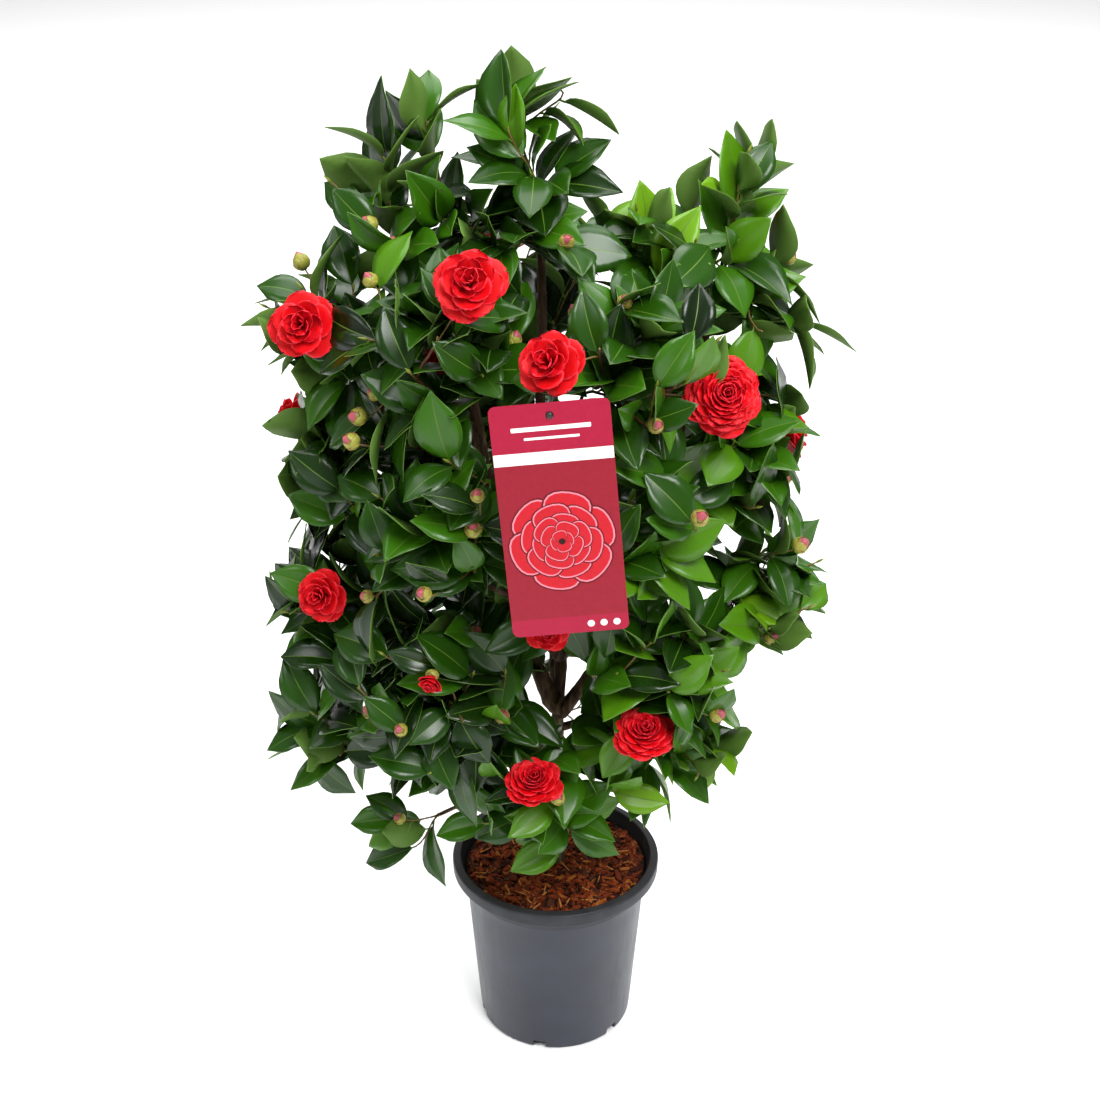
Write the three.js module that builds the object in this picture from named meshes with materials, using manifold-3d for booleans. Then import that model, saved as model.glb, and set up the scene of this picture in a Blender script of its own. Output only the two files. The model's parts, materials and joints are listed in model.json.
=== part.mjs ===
// A camellia shrub growing in its nursery pot, with a plain plant card hung in its front.
//
// Millimetres, +Z up. The origin is the centre of the pot's flat underside, the plant's front
// faces -Y, and +X is to the right when it is seen from the front.

import * as THREE from 'three';
import { mergeVertices } from 'three/addons/utils/BufferGeometryUtils.js';
import Module from 'manifold-3d';

const wasm = await Module();
wasm.setup();

// ---- driving dimensions ----

const GAP = 0.35; // left between pieces that touch
const SEAM = 1.5; // left between neighbouring masses of foliage

const pot = {
  height: 240,
  footRadius: 97.5,
  neckRadius: 115, // of the body, under the lip
  lipInnerRadius: 120,
  lipOuterRadius: 131,
  lipDepth: 19, // of the rolled lip's skirt
  bandDepth: 36, // from the top down to the moulded line round the neck
  bandStep: 1.4,
  wall: 2.6,
  floor: 4,
  footRound: 4,
  sides: 28,
  notches: 6,
  notchWidth: 17,
  notchHeight: 8,
  firstNotch: -102, // degrees round from +X
};

const soil = { depthBelowLip: 15, crown: 3, trunkPad: 26 };

const trunk = {
  forkHeight: 452,
  flareRadius: 14.5,
  flareHeight: 45,
  radius: 9.4,
  forkRadius: 8.6,
  lean: [3, -2],
  sides: 10,
  steps: 7,
};

const card = {
  width: 114,
  height: 246,
  thickness: 1,
  corner: 7,
  holeRadius: 4,
  holeDrop: 13,
  centre: [3, -292, 853],
  tilt: 4.5, // degrees, its top leaning left
  recline: 3, // degrees, its top leaning back
};

const limbSteps = { main: 7, side: 5 };
const limbSides = { main: 6, side: 5 };

// Each mass of foliage: its middle, its half sizes along X, Y and Z, and the places that its
// furthest leaf tips reach.
const foliage = {
  top_centre: {
    at: [-26, 2, 1164], half: [42, 46, 66],
    tips: [[-61, 0, 1250], [16, 4, 1204]],
  },
  top_left: {
    at: [-134, 12, 1166], half: [56, 52, 46],
    tips: [[-194, 2, 1203], [-164, 6, 1222], [-70, 10, 1214]],
  },
  shoulder_left: {
    at: [-196, -8, 1102], half: [56, 66, 60],
    tips: [[-250, -40, 1152], [-241, -18, 1174]],
  },
  upper_centre: {
    at: [-52, -45, 1060], half: [106, 86, 66],
    tips: [[58, 0, 1156], [-104, -50, 1130]],
  },
  shoulder_right: {
    at: [112, -22, 1052], half: [84, 84, 62],
    tips: [[140, -20, 1118]],
  },
  top_right: {
    at: [200, 22, 1100], half: [46, 56, 62],
    tips: [[208, 22, 1169], [170, 20, 1140], [246, 10, 1060]],
  },
  side_right_high: {
    at: [212, 2, 976], half: [64, 100, 62],
    tips: [[297, 0, 989], [262, 0, 1018], [330, -20, 926]],
  },
  side_left_high: {
    at: [-244, -28, 962], half: [72, 98, 68],
    tips: [[-330, -30, 1003], [-338, -60, 971]],
  },
  front_high_left: {
    at: [-112, -168, 996], half: [98, 66, 84],
    tips: [[-150, -215, 1060]],
  },
  front_high_right: {
    at: [78, -172, 984], half: [104, 66, 84],
    tips: [[150, -210, 1040]],
  },
  side_left_mid: {
    at: [-226, -48, 812], half: [66, 106, 84],
    tips: [[-320, -80, 864], [-297, -80, 750]],
  },
  front_mid_left: {
    at: [-124, -186, 812], half: [86, 66, 104],
    tips: [[-170, -250, 760]],
  },
  front_mid_right: {
    at: [70, -196, 790], half: [108, 62, 108],
    tips: [[150, -240, 820]],
  },
  side_right_mid: {
    at: [208, -38, 828], half: [74, 104, 88],
    tips: [[298, -20, 806], [270, -30, 906]],
  },
  side_right_low: {
    at: [246, -42, 646], half: [64, 88, 78],
    tips: [[334, -50, 704], [322, -50, 604], [268, -50, 558], [300, -40, 732]],
  },
  side_left_low: {
    at: [-258, -68, 642], half: [72, 92, 84],
    tips: [[-334, -98, 624], [-332, -90, 690], [-316, -90, 572]],
  },
  front_low_left: {
    at: [-136, -168, 582], half: [98, 72, 106],
    tips: [[-100, -225, 500], [-170, -170, 440], [-20, -168, 636]],
  },
  front_low_right: {
    at: [112, -168, 594], half: [96, 66, 90],
    tips: [[190, -200, 590]],
  },
  foot_left: {
    at: [-262, -90, 490], half: [68, 74, 64],
    tips: [[-341, -100, 460], [-313, -118, 414], [-236, -110, 404]],
  },
  foot_right: {
    at: [146, -128, 478], half: [72, 60, 62],
    tips: [[222, -120, 514], [178, -150, 417]],
  },
  foot_front: {
    at: [-4, -158, 432], half: [88, 52, 62],
    tips: [[-54, -170, 335], [72, -165, 370], [-96, -160, 376]],
  },
  foot_left_spray: {
    at: [-180, -116, 368], half: [46, 30, 44],
    tips: [[-131, -140, 305], [-231, -102, 297]],
  },
  back_high: {
    at: [0, 156, 972], half: [158, 88, 90],
    tips: [[-80, 190, 1058], [90, 190, 1052]],
  },
  back_left: {
    at: [-146, 158, 768], half: [130, 108, 122],
    tips: [[-246, 200, 830], [-200, 240, 690]],
  },
  back_right: {
    at: [144, 160, 760], half: [130, 108, 122],
    tips: [[246, 200, 820], [180, 246, 680]],
  },
  back_low: {
    at: [-6, 172, 545], half: [176, 92, 92],
    tips: [[-190, 200, 500], [180, 210, 520]],
  },
};

const unevenness = 0.1; // how far a mass swells and dips, as a share of its size
const tipSpread = 25; // degrees round a leaf tip over which a mass draws out towards it
const roundness = 2; // steps each side of a mass's first twenty faces is split into

// Each bough: the limb it leaves, how far along that limb, the mass that it grows into, and its
// radius where it leaves and where it ends.
const boughs = {
  leader: { from: 'trunk', along: 1, into: 'top_centre', radii: [8.2, 3.6], main: true },
  bough_left_tall: { from: 'trunk', along: 0.98, into: 'top_left', radii: [6.8, 3.4], main: true },
  bough_right_tall: { from: 'trunk', along: 0.94, into: 'top_right', radii: [7.6, 3.4], main: true },
  bough_front_left: { from: 'leader', along: 0.1, into: 'front_high_left', radii: [5.6, 3.2], main: true },
  bough_front_right: { from: 'leader', along: 0.16, into: 'front_high_right', radii: [5.6, 3.2], main: true },
  bough_back_high: { from: 'leader', along: 0.12, into: 'back_high', radii: [6, 3.2], main: true },
  bough_left_shoulder: { from: 'bough_left_tall', along: 0.5, into: 'shoulder_left', radii: [4.2, 2.8] },
  bough_left_high: { from: 'bough_left_tall', along: 0.34, into: 'side_left_high', radii: [4.4, 2.8] },
  bough_left_mid: { from: 'bough_left_tall', along: 0.16, into: 'side_left_mid', radii: [4.6, 2.8] },
  bough_left_low: { from: 'trunk', along: 0.84, into: 'side_left_low', radii: [5, 2.8] },
  bough_left_foot: { from: 'trunk', along: 0.7, into: 'foot_left', radii: [4.4, 2.6] },
  bough_foot_spray: { from: 'trunk', along: 0.56, into: 'foot_left_spray', radii: [3, 2] },
  bough_right_shoulder: { from: 'bough_right_tall', along: 0.56, into: 'shoulder_right', radii: [4.2, 2.8] },
  bough_right_high: { from: 'bough_right_tall', along: 0.46, into: 'side_right_high', radii: [4.2, 2.8] },
  bough_right_mid: { from: 'bough_right_tall', along: 0.26, into: 'side_right_mid', radii: [4.6, 2.8] },
  bough_right_low: { from: 'trunk', along: 0.88, into: 'side_right_low', radii: [5, 2.8] },
  bough_right_foot: { from: 'trunk', along: 0.72, into: 'foot_right', radii: [4, 2.6] },
  bough_front_mid_left: { from: 'bough_front_left', along: 0.3, into: 'front_mid_left', radii: [4, 2.6] },
  bough_front_mid_right: { from: 'bough_front_right', along: 0.3, into: 'front_mid_right', radii: [4, 2.6] },
  bough_front_low_left: { from: 'trunk', along: 0.9, into: 'front_low_left', radii: [4, 2.6] },
  bough_front_low_right: { from: 'trunk', along: 0.8, into: 'front_low_right', radii: [4, 2.6] },
  bough_front_foot: { from: 'trunk', along: 0.6, into: 'foot_front', radii: [3.6, 2.4] },
  bough_back_left: { from: 'bough_back_high', along: 0.2, into: 'back_left', radii: [4.8, 2.8] },
  bough_back_right: { from: 'bough_back_high', along: 0.26, into: 'back_right', radii: [4.8, 2.8] },
  bough_back_low: { from: 'trunk', along: 0.82, into: 'back_low', radii: [4.8, 2.8] },
};

// ---- finishes ----

const finish = {
  pot: new THREE.MeshStandardMaterial({ color: 0x3c3f45, roughness: 0.5, metalness: 0 }),
  soil: new THREE.MeshStandardMaterial({ color: 0x5a2f1e, roughness: 0.95, metalness: 0 }),
  bark: new THREE.MeshStandardMaterial({ color: 0x5b4636, roughness: 0.85, metalness: 0 }),
  leaf: new THREE.MeshStandardMaterial({ color: 0x234d22, roughness: 0.45, metalness: 0 }),
  card: new THREE.MeshStandardMaterial({ color: 0xc22a44, roughness: 0.35, metalness: 0 }),
};

// ---- solids ----

function solidOf(geometry) {
  const bare = geometry.clone();
  bare.deleteAttribute('normal');
  bare.deleteAttribute('uv');
  const merged = mergeVertices(bare, 1e-4);
  const corners = merged.index.array;
  const kept = [];
  for (let i = 0; i < corners.length; i += 3) {
    const [a, b, c] = [corners[i], corners[i + 1], corners[i + 2]];
    if (a !== b && b !== c && c !== a) kept.push(a, b, c);
  }
  return new wasm.Manifold(new wasm.Mesh({
    numProp: 3,
    vertProperties: new Float32Array(merged.attributes.position.array),
    triVerts: new Uint32Array(kept),
  }));
}

function geometryOf(solid) {
  const mesh = solid.getMesh();
  const geometry = new THREE.BufferGeometry();
  geometry.setAttribute('position', new THREE.BufferAttribute(mesh.vertProperties, 3));
  geometry.setIndex(new THREE.BufferAttribute(mesh.triVerts, 1));
  geometry.computeVertexNormals();
  return geometry;
}

function boxesMeet(a, b) {
  const [p, q] = [a.boundingBox(), b.boundingBox()];
  return [0, 1, 2].every((k) => p.min[k] < q.max[k] && q.min[k] < p.max[k]);
}

// A cut can leave crumbs beside the piece itself: only the largest body is kept.
function cutBy(solid, cutters) {
  let cut = solid;
  for (const cutter of cutters) {
    if (boxesMeet(cut, cutter)) cut = cut.subtract(cutter);
  }
  const bodies = cut.decompose();
  bodies.sort((a, b) => b.volume() - a.volume());
  return bodies[0];
}

function vector(triple) {
  return new THREE.Vector3(...triple);
}

// A turned piece: an outline of [radius, height] pairs swept round Z.
function turned(outline, sides) {
  const points = outline.map(([radius, height]) => new THREE.Vector2(radius, height));
  return new THREE.LatheGeometry(points, sides).rotateX(Math.PI / 2);
}

function arc(centre, radius, fromDegrees, toDegrees, steps) {
  return Array.from({ length: steps + 1 }, (_, i) => {
    const angle = THREE.MathUtils.degToRad(fromDegrees + ((toDegrees - fromDegrees) * i) / steps);
    return [centre[0] + radius * Math.cos(angle), centre[1] + radius * Math.sin(angle)];
  });
}

// ---- the pot and its soil ----

function potOuterRadius(height) {
  const top = pot.height - pot.lipDepth;
  return THREE.MathUtils.mapLinear(height, 0, top, pot.footRadius, pot.neckRadius);
}

function potInnerRadius(height) {
  return potOuterRadius(height) - pot.wall;
}

function potSolid() {
  const lipUnder = pot.height - pot.lipDepth;
  const line = pot.height - pot.bandDepth;
  const lipRound = 5;
  const lipEdge = pot.height - 6; // the lip's outer edge lies lower than its inner one
  const outline = [
    [0, 0],
    ...arc([pot.footRadius - pot.footRound, pot.footRound], pot.footRound, -90, 0, 1),
    [potOuterRadius(line), line],
    [potOuterRadius(line) + pot.bandStep, line + pot.bandStep],
    [pot.neckRadius + pot.bandStep, lipUnder],
    [pot.lipOuterRadius - 3, lipUnder],
    [pot.lipOuterRadius - 0.5, lipUnder + 3],
    ...arc([pot.lipOuterRadius - lipRound, lipEdge - lipRound], lipRound, 0, 68, 2),
    [pot.lipInnerRadius + 2, pot.height],
    [pot.lipInnerRadius, pot.height - 1.5],
    [potInnerRadius(lipUnder), lipUnder - 3],
    [potInnerRadius(pot.floor), pot.floor],
    [0, pot.floor],
  ];
  return cutBy(solidOf(turned(outline, pot.sides)), notchCutters());
}

// Drainage notches through the foot of the wall and the rim of the floor.
function notchCutters() {
  const depth = 16;
  return Array.from({ length: pot.notches }, (_, i) => {
    const block = new THREE.BoxGeometry(depth, pot.notchWidth, 2 * pot.notchHeight);
    block.translate(pot.footRadius - 2, 0, 0);
    block.rotateZ(THREE.MathUtils.degToRad(pot.firstNotch + (360 * i) / pot.notches));
    return solidOf(block);
  });
}

function soilTop(radius) {
  const edge = pot.height - pot.lipDepth;
  const share = Math.min(1, radius / potInnerRadius(edge));
  return pot.height - soil.depthBelowLip + soil.crown * (1 - share * share);
}

function soilSolid() {
  const foot = pot.floor + GAP;
  const clearOfNotches = pot.notchHeight + GAP;
  const brim = pot.height - pot.lipDepth - 3;
  const surface = [brimRadius(), 70, soil.trunkPad].map((radius) => [radius, soilTop(radius)]);
  const outline = [
    [0, foot],
    [pot.footRadius - 14, foot],
    [potInnerRadius(clearOfNotches) - GAP, clearOfNotches + 4],
    [potInnerRadius(brim) - GAP, brim],
    ...surface,
    [0, soilTop(soil.trunkPad)],
  ];
  return solidOf(turned(outline, pot.sides));
}

// Where the soil's surface meets the flare inside the lip.
function brimRadius() {
  const lower = pot.height - pot.lipDepth - 3;
  const upper = pot.height - 1.5;
  const level = pot.height - soil.depthBelowLip;
  const neck = potInnerRadius(pot.height - pot.lipDepth);
  return THREE.MathUtils.mapLinear(level, lower, upper, neck, pot.lipInnerRadius) - 2 * GAP;
}

// ---- limbs ----

// A closed, tapering limb: a unit cylinder bent along a curve.
function limbGeometry(curve, radiusAt, sides, steps, grow = 0) {
  const geometry = new THREE.CylinderGeometry(1, 1, 1, sides, steps);
  const frames = curve.computeFrenetFrames(steps, false);
  const position = geometry.attributes.position;
  const corner = new THREE.Vector3();
  for (let i = 0; i < position.count; i += 1) {
    corner.fromBufferAttribute(position, i);
    const share = corner.y + 0.5;
    const step = Math.round(share * steps);
    const radius = radiusAt(share) + grow;
    const place = curve.getPointAt(share);
    place.addScaledVector(frames.normals[step], corner.x * radius);
    place.addScaledVector(frames.binormals[step], -corner.z * radius);
    if (share === 0) place.addScaledVector(frames.tangents[0], -grow);
    if (share === 1) place.addScaledVector(frames.tangents[steps], grow);
    position.setXYZ(i, place.x, place.y, place.z);
  }
  return geometry;
}

function limb(curve, radiusAt, sides, steps) {
  return {
    curve,
    radiusAt,
    solid: solidOf(limbGeometry(curve, radiusAt, sides, steps)),
    grown: solidOf(limbGeometry(curve, radiusAt, sides, steps, GAP)),
  };
}

function trunkLimb() {
  const foot = soilTop(soil.trunkPad) + GAP;
  const [leanX, leanY] = trunk.lean;
  const curve = new THREE.CatmullRomCurve3([
    new THREE.Vector3(0, 0, foot),
    new THREE.Vector3(0, 0, foot + trunk.flareHeight),
    new THREE.Vector3(-leanX, leanY / 2, (foot + trunk.forkHeight) / 2),
    new THREE.Vector3(leanX, leanY, trunk.forkHeight),
  ]);
  const length = trunk.forkHeight - foot;
  const radiusAt = (share) => {
    const flare = Math.exp(-3 * ((share * length) / trunk.flareHeight));
    const plain = THREE.MathUtils.lerp(trunk.radius, trunk.forkRadius, share);
    return plain + (trunk.flareRadius - trunk.radius) * flare;
  };
  return limb(curve, radiusAt, trunk.sides, trunk.steps);
}

// A bough leaves its parent outward, then turns up towards its mass, with a slight kink on the way.
function boughCurve(start, end, kink) {
  const reach = end.clone().sub(start);
  const out = new THREE.Vector3(reach.x, reach.y, 0);
  const rise = new THREE.Vector3(0, 0, reach.z);
  const sideways = new THREE.Vector3(-reach.y, reach.x, 0).normalize().multiplyScalar(kink);
  const arch = (outShare, riseShare, kinkShare) => start.clone()
    .addScaledVector(out, outShare)
    .addScaledVector(rise, riseShare)
    .addScaledVector(sideways, kinkShare);
  return new THREE.CatmullRomCurve3([
    start,
    arch(0.3, 0.16, 0.6),
    arch(0.56, 0.4, -0.4),
    arch(0.78, 0.68, 0.5),
    end,
  ]);
}

// The central leader stands nearly upright all the way, so it has no arch.
function leaderCurve(start, end, kink) {
  const wander = (share, kinkShare) => {
    const aside = new THREE.Vector3(kink * kinkShare, (kink * kinkShare) / 2, 0);
    return start.clone().lerp(end, share).add(aside);
  };
  return new THREE.CatmullRomCurve3([
    start,
    wander(0.2, -1),
    wander(0.5, 0.6),
    wander(0.8, -0.5),
    end,
  ]);
}

function growBoughs(trunkPiece) {
  const limbs = { trunk: trunkPiece };
  Object.entries(boughs).forEach(([name, bough], order) => {
    const parent = limbs[bough.from];
    const start = parent.curve.getPointAt(bough.along);
    const end = vector(foliage[bough.into].at);
    const kink = order % 2 ? 9 : -9;
    const upright = name === 'leader';
    const curve = upright ? leaderCurve(start, end, kink) : boughCurve(start, end, kink);
    const radiusAt = (share) => THREE.MathUtils.lerp(bough.radii[0], bough.radii[1], share);
    const size = bough.main ? 'main' : 'side';
    limbs[name] = limb(curve, radiusAt, limbSides[size], limbSteps[size]);
  });
  return limbs;
}

// ---- masses of foliage ----

// Swells and dips of a mass: a few waves across it, each mass with waves of its own.
function swell(direction, order) {
  let sum = 0;
  for (let wave = 0; wave < 4; wave += 1) {
    const turn = order * 2.39996 + wave * 1.7;
    const tilt = Math.sin(order * 1.3 + wave * 2.1);
    const across = new THREE.Vector3(Math.cos(turn), Math.sin(turn), tilt).normalize();
    sum += Math.sin(direction.dot(across) * (2.6 + wave * 0.9) + turn * 3);
  }
  return sum / 2.4;
}

function massGeometry(mass, order, grow = 0) {
  const geometry = new THREE.IcosahedronGeometry(1, roundness);
  const position = geometry.attributes.position;
  const middle = vector(mass.at);
  const half = vector(mass.half);
  const corner = new THREE.Vector3();
  const places = [];
  for (let i = 0; i < position.count; i += 1) {
    corner.fromBufferAttribute(position, i).normalize();
    const size = 1 + unevenness * swell(corner, order);
    places.push(corner.clone().multiply(half).multiplyScalar(size));
  }
  for (const tip of mass.tips) drawOutTo(places, vector(tip).sub(middle));
  places.forEach((place, i) => {
    const longer = 1 + grow / place.length();
    place.multiplyScalar(longer).add(middle);
    position.setXYZ(i, place.x, place.y, place.z);
  });
  return geometry;
}

// Draws the part of a mass that faces a leaf tip out into a blunt point that ends there.
function drawOutTo(places, tip) {
  const angles = places.map((place) => THREE.MathUtils.radToDeg(place.angleTo(tip)));
  const nearest = Math.min(...angles);
  places.forEach((place, i) => {
    const away = (angles[i] - nearest) / tipSpread;
    if (away < 1) place.lerp(tip, (1 - away) ** 2 * (1 + 2 * away) * (1 - 0.5 * away));
  });
}

// ---- the plant card ----

function cardShape() {
  const [halfWidth, halfHeight, corner] = [card.width / 2, card.height / 2, card.corner];
  const shape = new THREE.Shape();
  shape.moveTo(-halfWidth + corner, -halfHeight);
  shape.lineTo(halfWidth - corner, -halfHeight);
  shape.absarc(halfWidth - corner, -halfHeight + corner, corner, -Math.PI / 2, 0);
  shape.absarc(halfWidth - corner, halfHeight - corner, corner, 0, Math.PI / 2);
  shape.absarc(-halfWidth + corner, halfHeight - corner, corner, Math.PI / 2, Math.PI);
  shape.absarc(-halfWidth + corner, -halfHeight + corner, corner, Math.PI, 1.5 * Math.PI);
  const hole = new THREE.Path();
  hole.absarc(0, halfHeight - card.holeDrop, card.holeRadius, 0, 2 * Math.PI, true);
  shape.holes.push(hole);
  return shape;
}

function cardGeometry(grow = 0) {
  const thickness = card.thickness + 2 * grow;
  const geometry = new THREE.ExtrudeGeometry(cardShape(), {
    depth: thickness,
    bevelEnabled: false,
    curveSegments: 2,
  });
  geometry.translate(0, 0, -thickness / 2);
  geometry.rotateX(THREE.MathUtils.degToRad(90 - card.recline));
  geometry.rotateY(THREE.MathUtils.degToRad(-card.tilt));
  geometry.translate(...card.centre);
  return geometry;
}

// ---- the assembly ----

const plant = new THREE.Group();

function place(name, geometry, material) {
  const mesh = new THREE.Mesh(geometry, material);
  mesh.name = name;
  plant.add(mesh);
}

const limbs = growBoughs(trunkLimb());
const potPiece = potSolid();
const cardCutter = solidOf(cardGeometry(SEAM));

place('pot', geometryOf(potPiece), finish.pot);
place('soil', geometryOf(soilSolid()), finish.soil);
place('trunk', geometryOf(limbs.trunk.solid), finish.bark);
place('plant_card', geometryOf(solidOf(cardGeometry())), finish.card);

// A bough is cut back from the limbs it grows from and from the mass it grows into.
const limbNames = Object.keys(limbs);
Object.entries(boughs).forEach(([name, bough], order) => {
  const elder = limbNames.slice(0, order + 1).map((other) => limbs[other].grown);
  const massOrder = Object.keys(foliage).indexOf(bough.into);
  const end = solidOf(massGeometry(foliage[bough.into], massOrder, GAP));
  place(name, geometryOf(cutBy(limbs[name].solid, [...elder, end])), finish.bark);
});

// A mass is cut round every limb that passes it and back from the masses made before it.
const earlier = [cardCutter];
Object.entries(foliage).forEach(([name, mass], order) => {
  const passing = Object.entries(limbs)
    .filter(([limbName]) => boughs[limbName]?.into !== name)
    .map(([, piece]) => piece.grown);
  const whole = solidOf(massGeometry(mass, order));
  place(name, geometryOf(cutBy(whole, [...earlier, ...passing])), finish.leaf);
  earlier.push(solidOf(massGeometry(mass, order, SEAM)));
});

export default plant;
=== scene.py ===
"""The looks of a camellia shrub in its nursery pot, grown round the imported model.

Metres, +Z up, and the plant's front faces -Y. Limbs, masses of foliage, pot and card are read from
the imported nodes. Each mass is replaced by twigs, leaves, buds and blooms that grow on from the limbs.
"""

import json
import math
import random

import bpy
import numpy as np
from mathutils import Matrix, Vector, noise
from mathutils.bvhtree import BVHTree

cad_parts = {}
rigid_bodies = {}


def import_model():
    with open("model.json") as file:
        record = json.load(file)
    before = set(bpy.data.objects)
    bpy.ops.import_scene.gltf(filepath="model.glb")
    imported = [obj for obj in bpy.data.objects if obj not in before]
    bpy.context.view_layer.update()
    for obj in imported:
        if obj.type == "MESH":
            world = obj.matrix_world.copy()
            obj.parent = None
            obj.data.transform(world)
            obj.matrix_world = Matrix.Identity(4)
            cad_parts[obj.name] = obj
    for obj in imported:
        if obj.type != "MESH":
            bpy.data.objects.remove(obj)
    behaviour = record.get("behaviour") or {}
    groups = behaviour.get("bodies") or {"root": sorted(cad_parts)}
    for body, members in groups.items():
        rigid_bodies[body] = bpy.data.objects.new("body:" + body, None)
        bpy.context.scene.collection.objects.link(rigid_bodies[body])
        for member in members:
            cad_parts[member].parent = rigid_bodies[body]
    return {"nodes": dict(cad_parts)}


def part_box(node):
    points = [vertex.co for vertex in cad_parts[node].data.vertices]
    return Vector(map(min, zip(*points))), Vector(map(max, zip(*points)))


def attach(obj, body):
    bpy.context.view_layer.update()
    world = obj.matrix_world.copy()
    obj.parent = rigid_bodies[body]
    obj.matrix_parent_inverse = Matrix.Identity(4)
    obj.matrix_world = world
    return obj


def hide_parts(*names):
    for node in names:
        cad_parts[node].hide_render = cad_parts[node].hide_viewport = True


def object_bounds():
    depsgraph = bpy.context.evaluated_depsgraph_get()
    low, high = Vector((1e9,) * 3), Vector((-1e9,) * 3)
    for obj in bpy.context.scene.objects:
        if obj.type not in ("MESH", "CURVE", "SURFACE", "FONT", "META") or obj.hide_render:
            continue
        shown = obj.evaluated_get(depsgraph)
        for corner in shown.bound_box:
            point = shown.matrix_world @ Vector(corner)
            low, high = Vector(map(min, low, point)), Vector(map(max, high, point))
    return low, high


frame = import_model()
cad_low, cad_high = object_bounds()

SEED = 11  # of every random draw
MM = 0.001
UP = Vector((0, 0, 1))
GOLDEN = math.radians(137.5)  # the turn from one leaf or petal to the next

# ---- driving values of the plant ----

OUTER_SPACING = 48 * MM  # between the shoot tips that face out of the crown
INNER_SPACING = 84 * MM  # between those inside it
# How many times wider apart the shoots of some masses stand, which lets the sky through.
SPARSE = {"upper_centre": 2.1, "shoulder_right": 1.15, "back_high": 1.8, "top_centre": 1.2}
OUTER_SHARE = 0.12  # a tip at least this open to the outside is an outer one
INNER_SHARE = 0.04  # and one less open than this is an inner one
BUD_SHARE = 0.12  # the share of the outer shoots that end in a flower bud
TRIAL_CELL = 15 * MM  # one tip is tried for each cube of this width in a mass's box
SHELL = 52 * MM  # how near the crown's outside a tip counts as outer
TIP_INSET = 10 * MM  # how deep inside its mass a shoot ends
LEAF_LENGTH = 87 * MM
LEAF_SHAPE = 0.3  # half a blade's width as a share of its length
LEAF_STEPS = (0, 5, 15, 27, 40, 54, 69)  # millimetres back from the tip to each leaf of a shoot
LEAF_SPREADS = (26, 56, 64, 68, 72, 76, 80)  # degrees between each of these leaves and the stem
LEAF_GAP = 18.5 * MM  # the least distance between the middles of two leaves
LEAFLESS = {"leafy": 0, "bud": 4, "bloom": 12}  # millimetres of bare stem under what a shoot bears
OVERHANG = 7 * MM  # how far a leaf tip may stand out of the crown's solids
SPUR_OVERHANG = 16 * MM  # on a shoot that ends in a drawn-out corner of a mass
THIN_OVERHANG = 19 * MM  # on the shoots of the thin masses
THIN = 110 * MM  # a mass with a side shorter than this is a thin one
SPUR_SPACING = 48 * MM  # between the drawn-out corners of one mass that are followed
SPUR_ROOM = 34 * MM  # between the tip of a shoot to such a corner and the other tips
SPRIG_OVERHANG = 85 * MM  # on the short shoots of the bare boughs
SPRIG_SPACING = 46 * MM  # between the short shoots of the bare boughs
SPRIG_LOWEST = 420 * MM  # above the ground
SPRIG_REACH = 150 * MM  # how far they stand from the plant's upright axis
UPRIGHT = 0.84  # the share of the plant's height above which leaves stand up
TRIES = 13  # how often a leaf is turned and shortened to find it room
SHORTEST_TWIG = 16 * MM
TURN_COST = 0.55  # how much a twig's turn away from its parent adds to its cost
PATH_COST = 0.22  # how much the way already gone along twigs adds
LIMB_STEP = 14 * MM  # between the knots of a limb
TWIG_STEP = 9 * MM  # and between those of a twig
TWIG_RADIUS = 1.05 * MM  # of a shoot that bears one tip
PIPE = 0.42  # how fast a twig thickens with the number of tips it bears


class Record:
    """Named values."""

    def __init__(self, **values):
        self.__dict__.update(values)


def placed(name, data):
    """A new object in the scene."""
    made = bpy.data.objects.new(name, data)
    bpy.context.scene.collection.objects.link(made)
    return made


# ---- gathering many small things into one mesh ----


class Heap:
    """Points and faces of many small things, gathered into one mesh."""

    def __init__(self):
        self.points = []
        self.corners = []
        self.sizes = []
        self.slots = []
        self.flat = []
        self.count = 0

    def add(self, points, groups):
        """groups holds (faces, slot, flat): the faces count from this thing's own first point."""
        for faces, slot, flat in groups:
            faces = np.asarray(faces)
            faces = faces.reshape(-1, faces.shape[-1])
            self.corners.append((faces + self.count).ravel())
            self.sizes.append(np.full(len(faces), faces.shape[1]))
            self.slots.append(np.full(len(faces), slot))
            self.flat.append(np.full(len(faces), flat))
        self.points.append(np.asarray(points, float).reshape(-1, 3))
        self.count += len(self.points[-1])

    def build(self, name, materials, slot=None):
        """Makes the mesh as a named piece that rides on the one body."""
        mesh = bpy.data.meshes.new(name)
        points = np.concatenate(self.points)
        corners = np.concatenate(self.corners)
        sizes = np.concatenate(self.sizes)
        mesh.vertices.add(len(points))
        mesh.vertices.foreach_set("co", points.astype(np.float32).ravel())
        mesh.loops.add(len(corners))
        mesh.loops.foreach_set("vertex_index", corners.astype(np.int32))
        mesh.polygons.add(len(sizes))
        mesh.polygons.foreach_set("loop_start", (np.cumsum(sizes) - sizes).astype(np.int32))
        mesh.polygons.foreach_set("material_index", np.concatenate(self.slots).astype(np.int32))
        mesh.polygons.foreach_set("use_smooth", ~np.concatenate(self.flat))
        mesh.update(calc_edges=True)
        for material in materials:
            mesh.materials.append(material)
        piece = placed(name, mesh)
        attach(piece, "root")
        return piece


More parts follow.
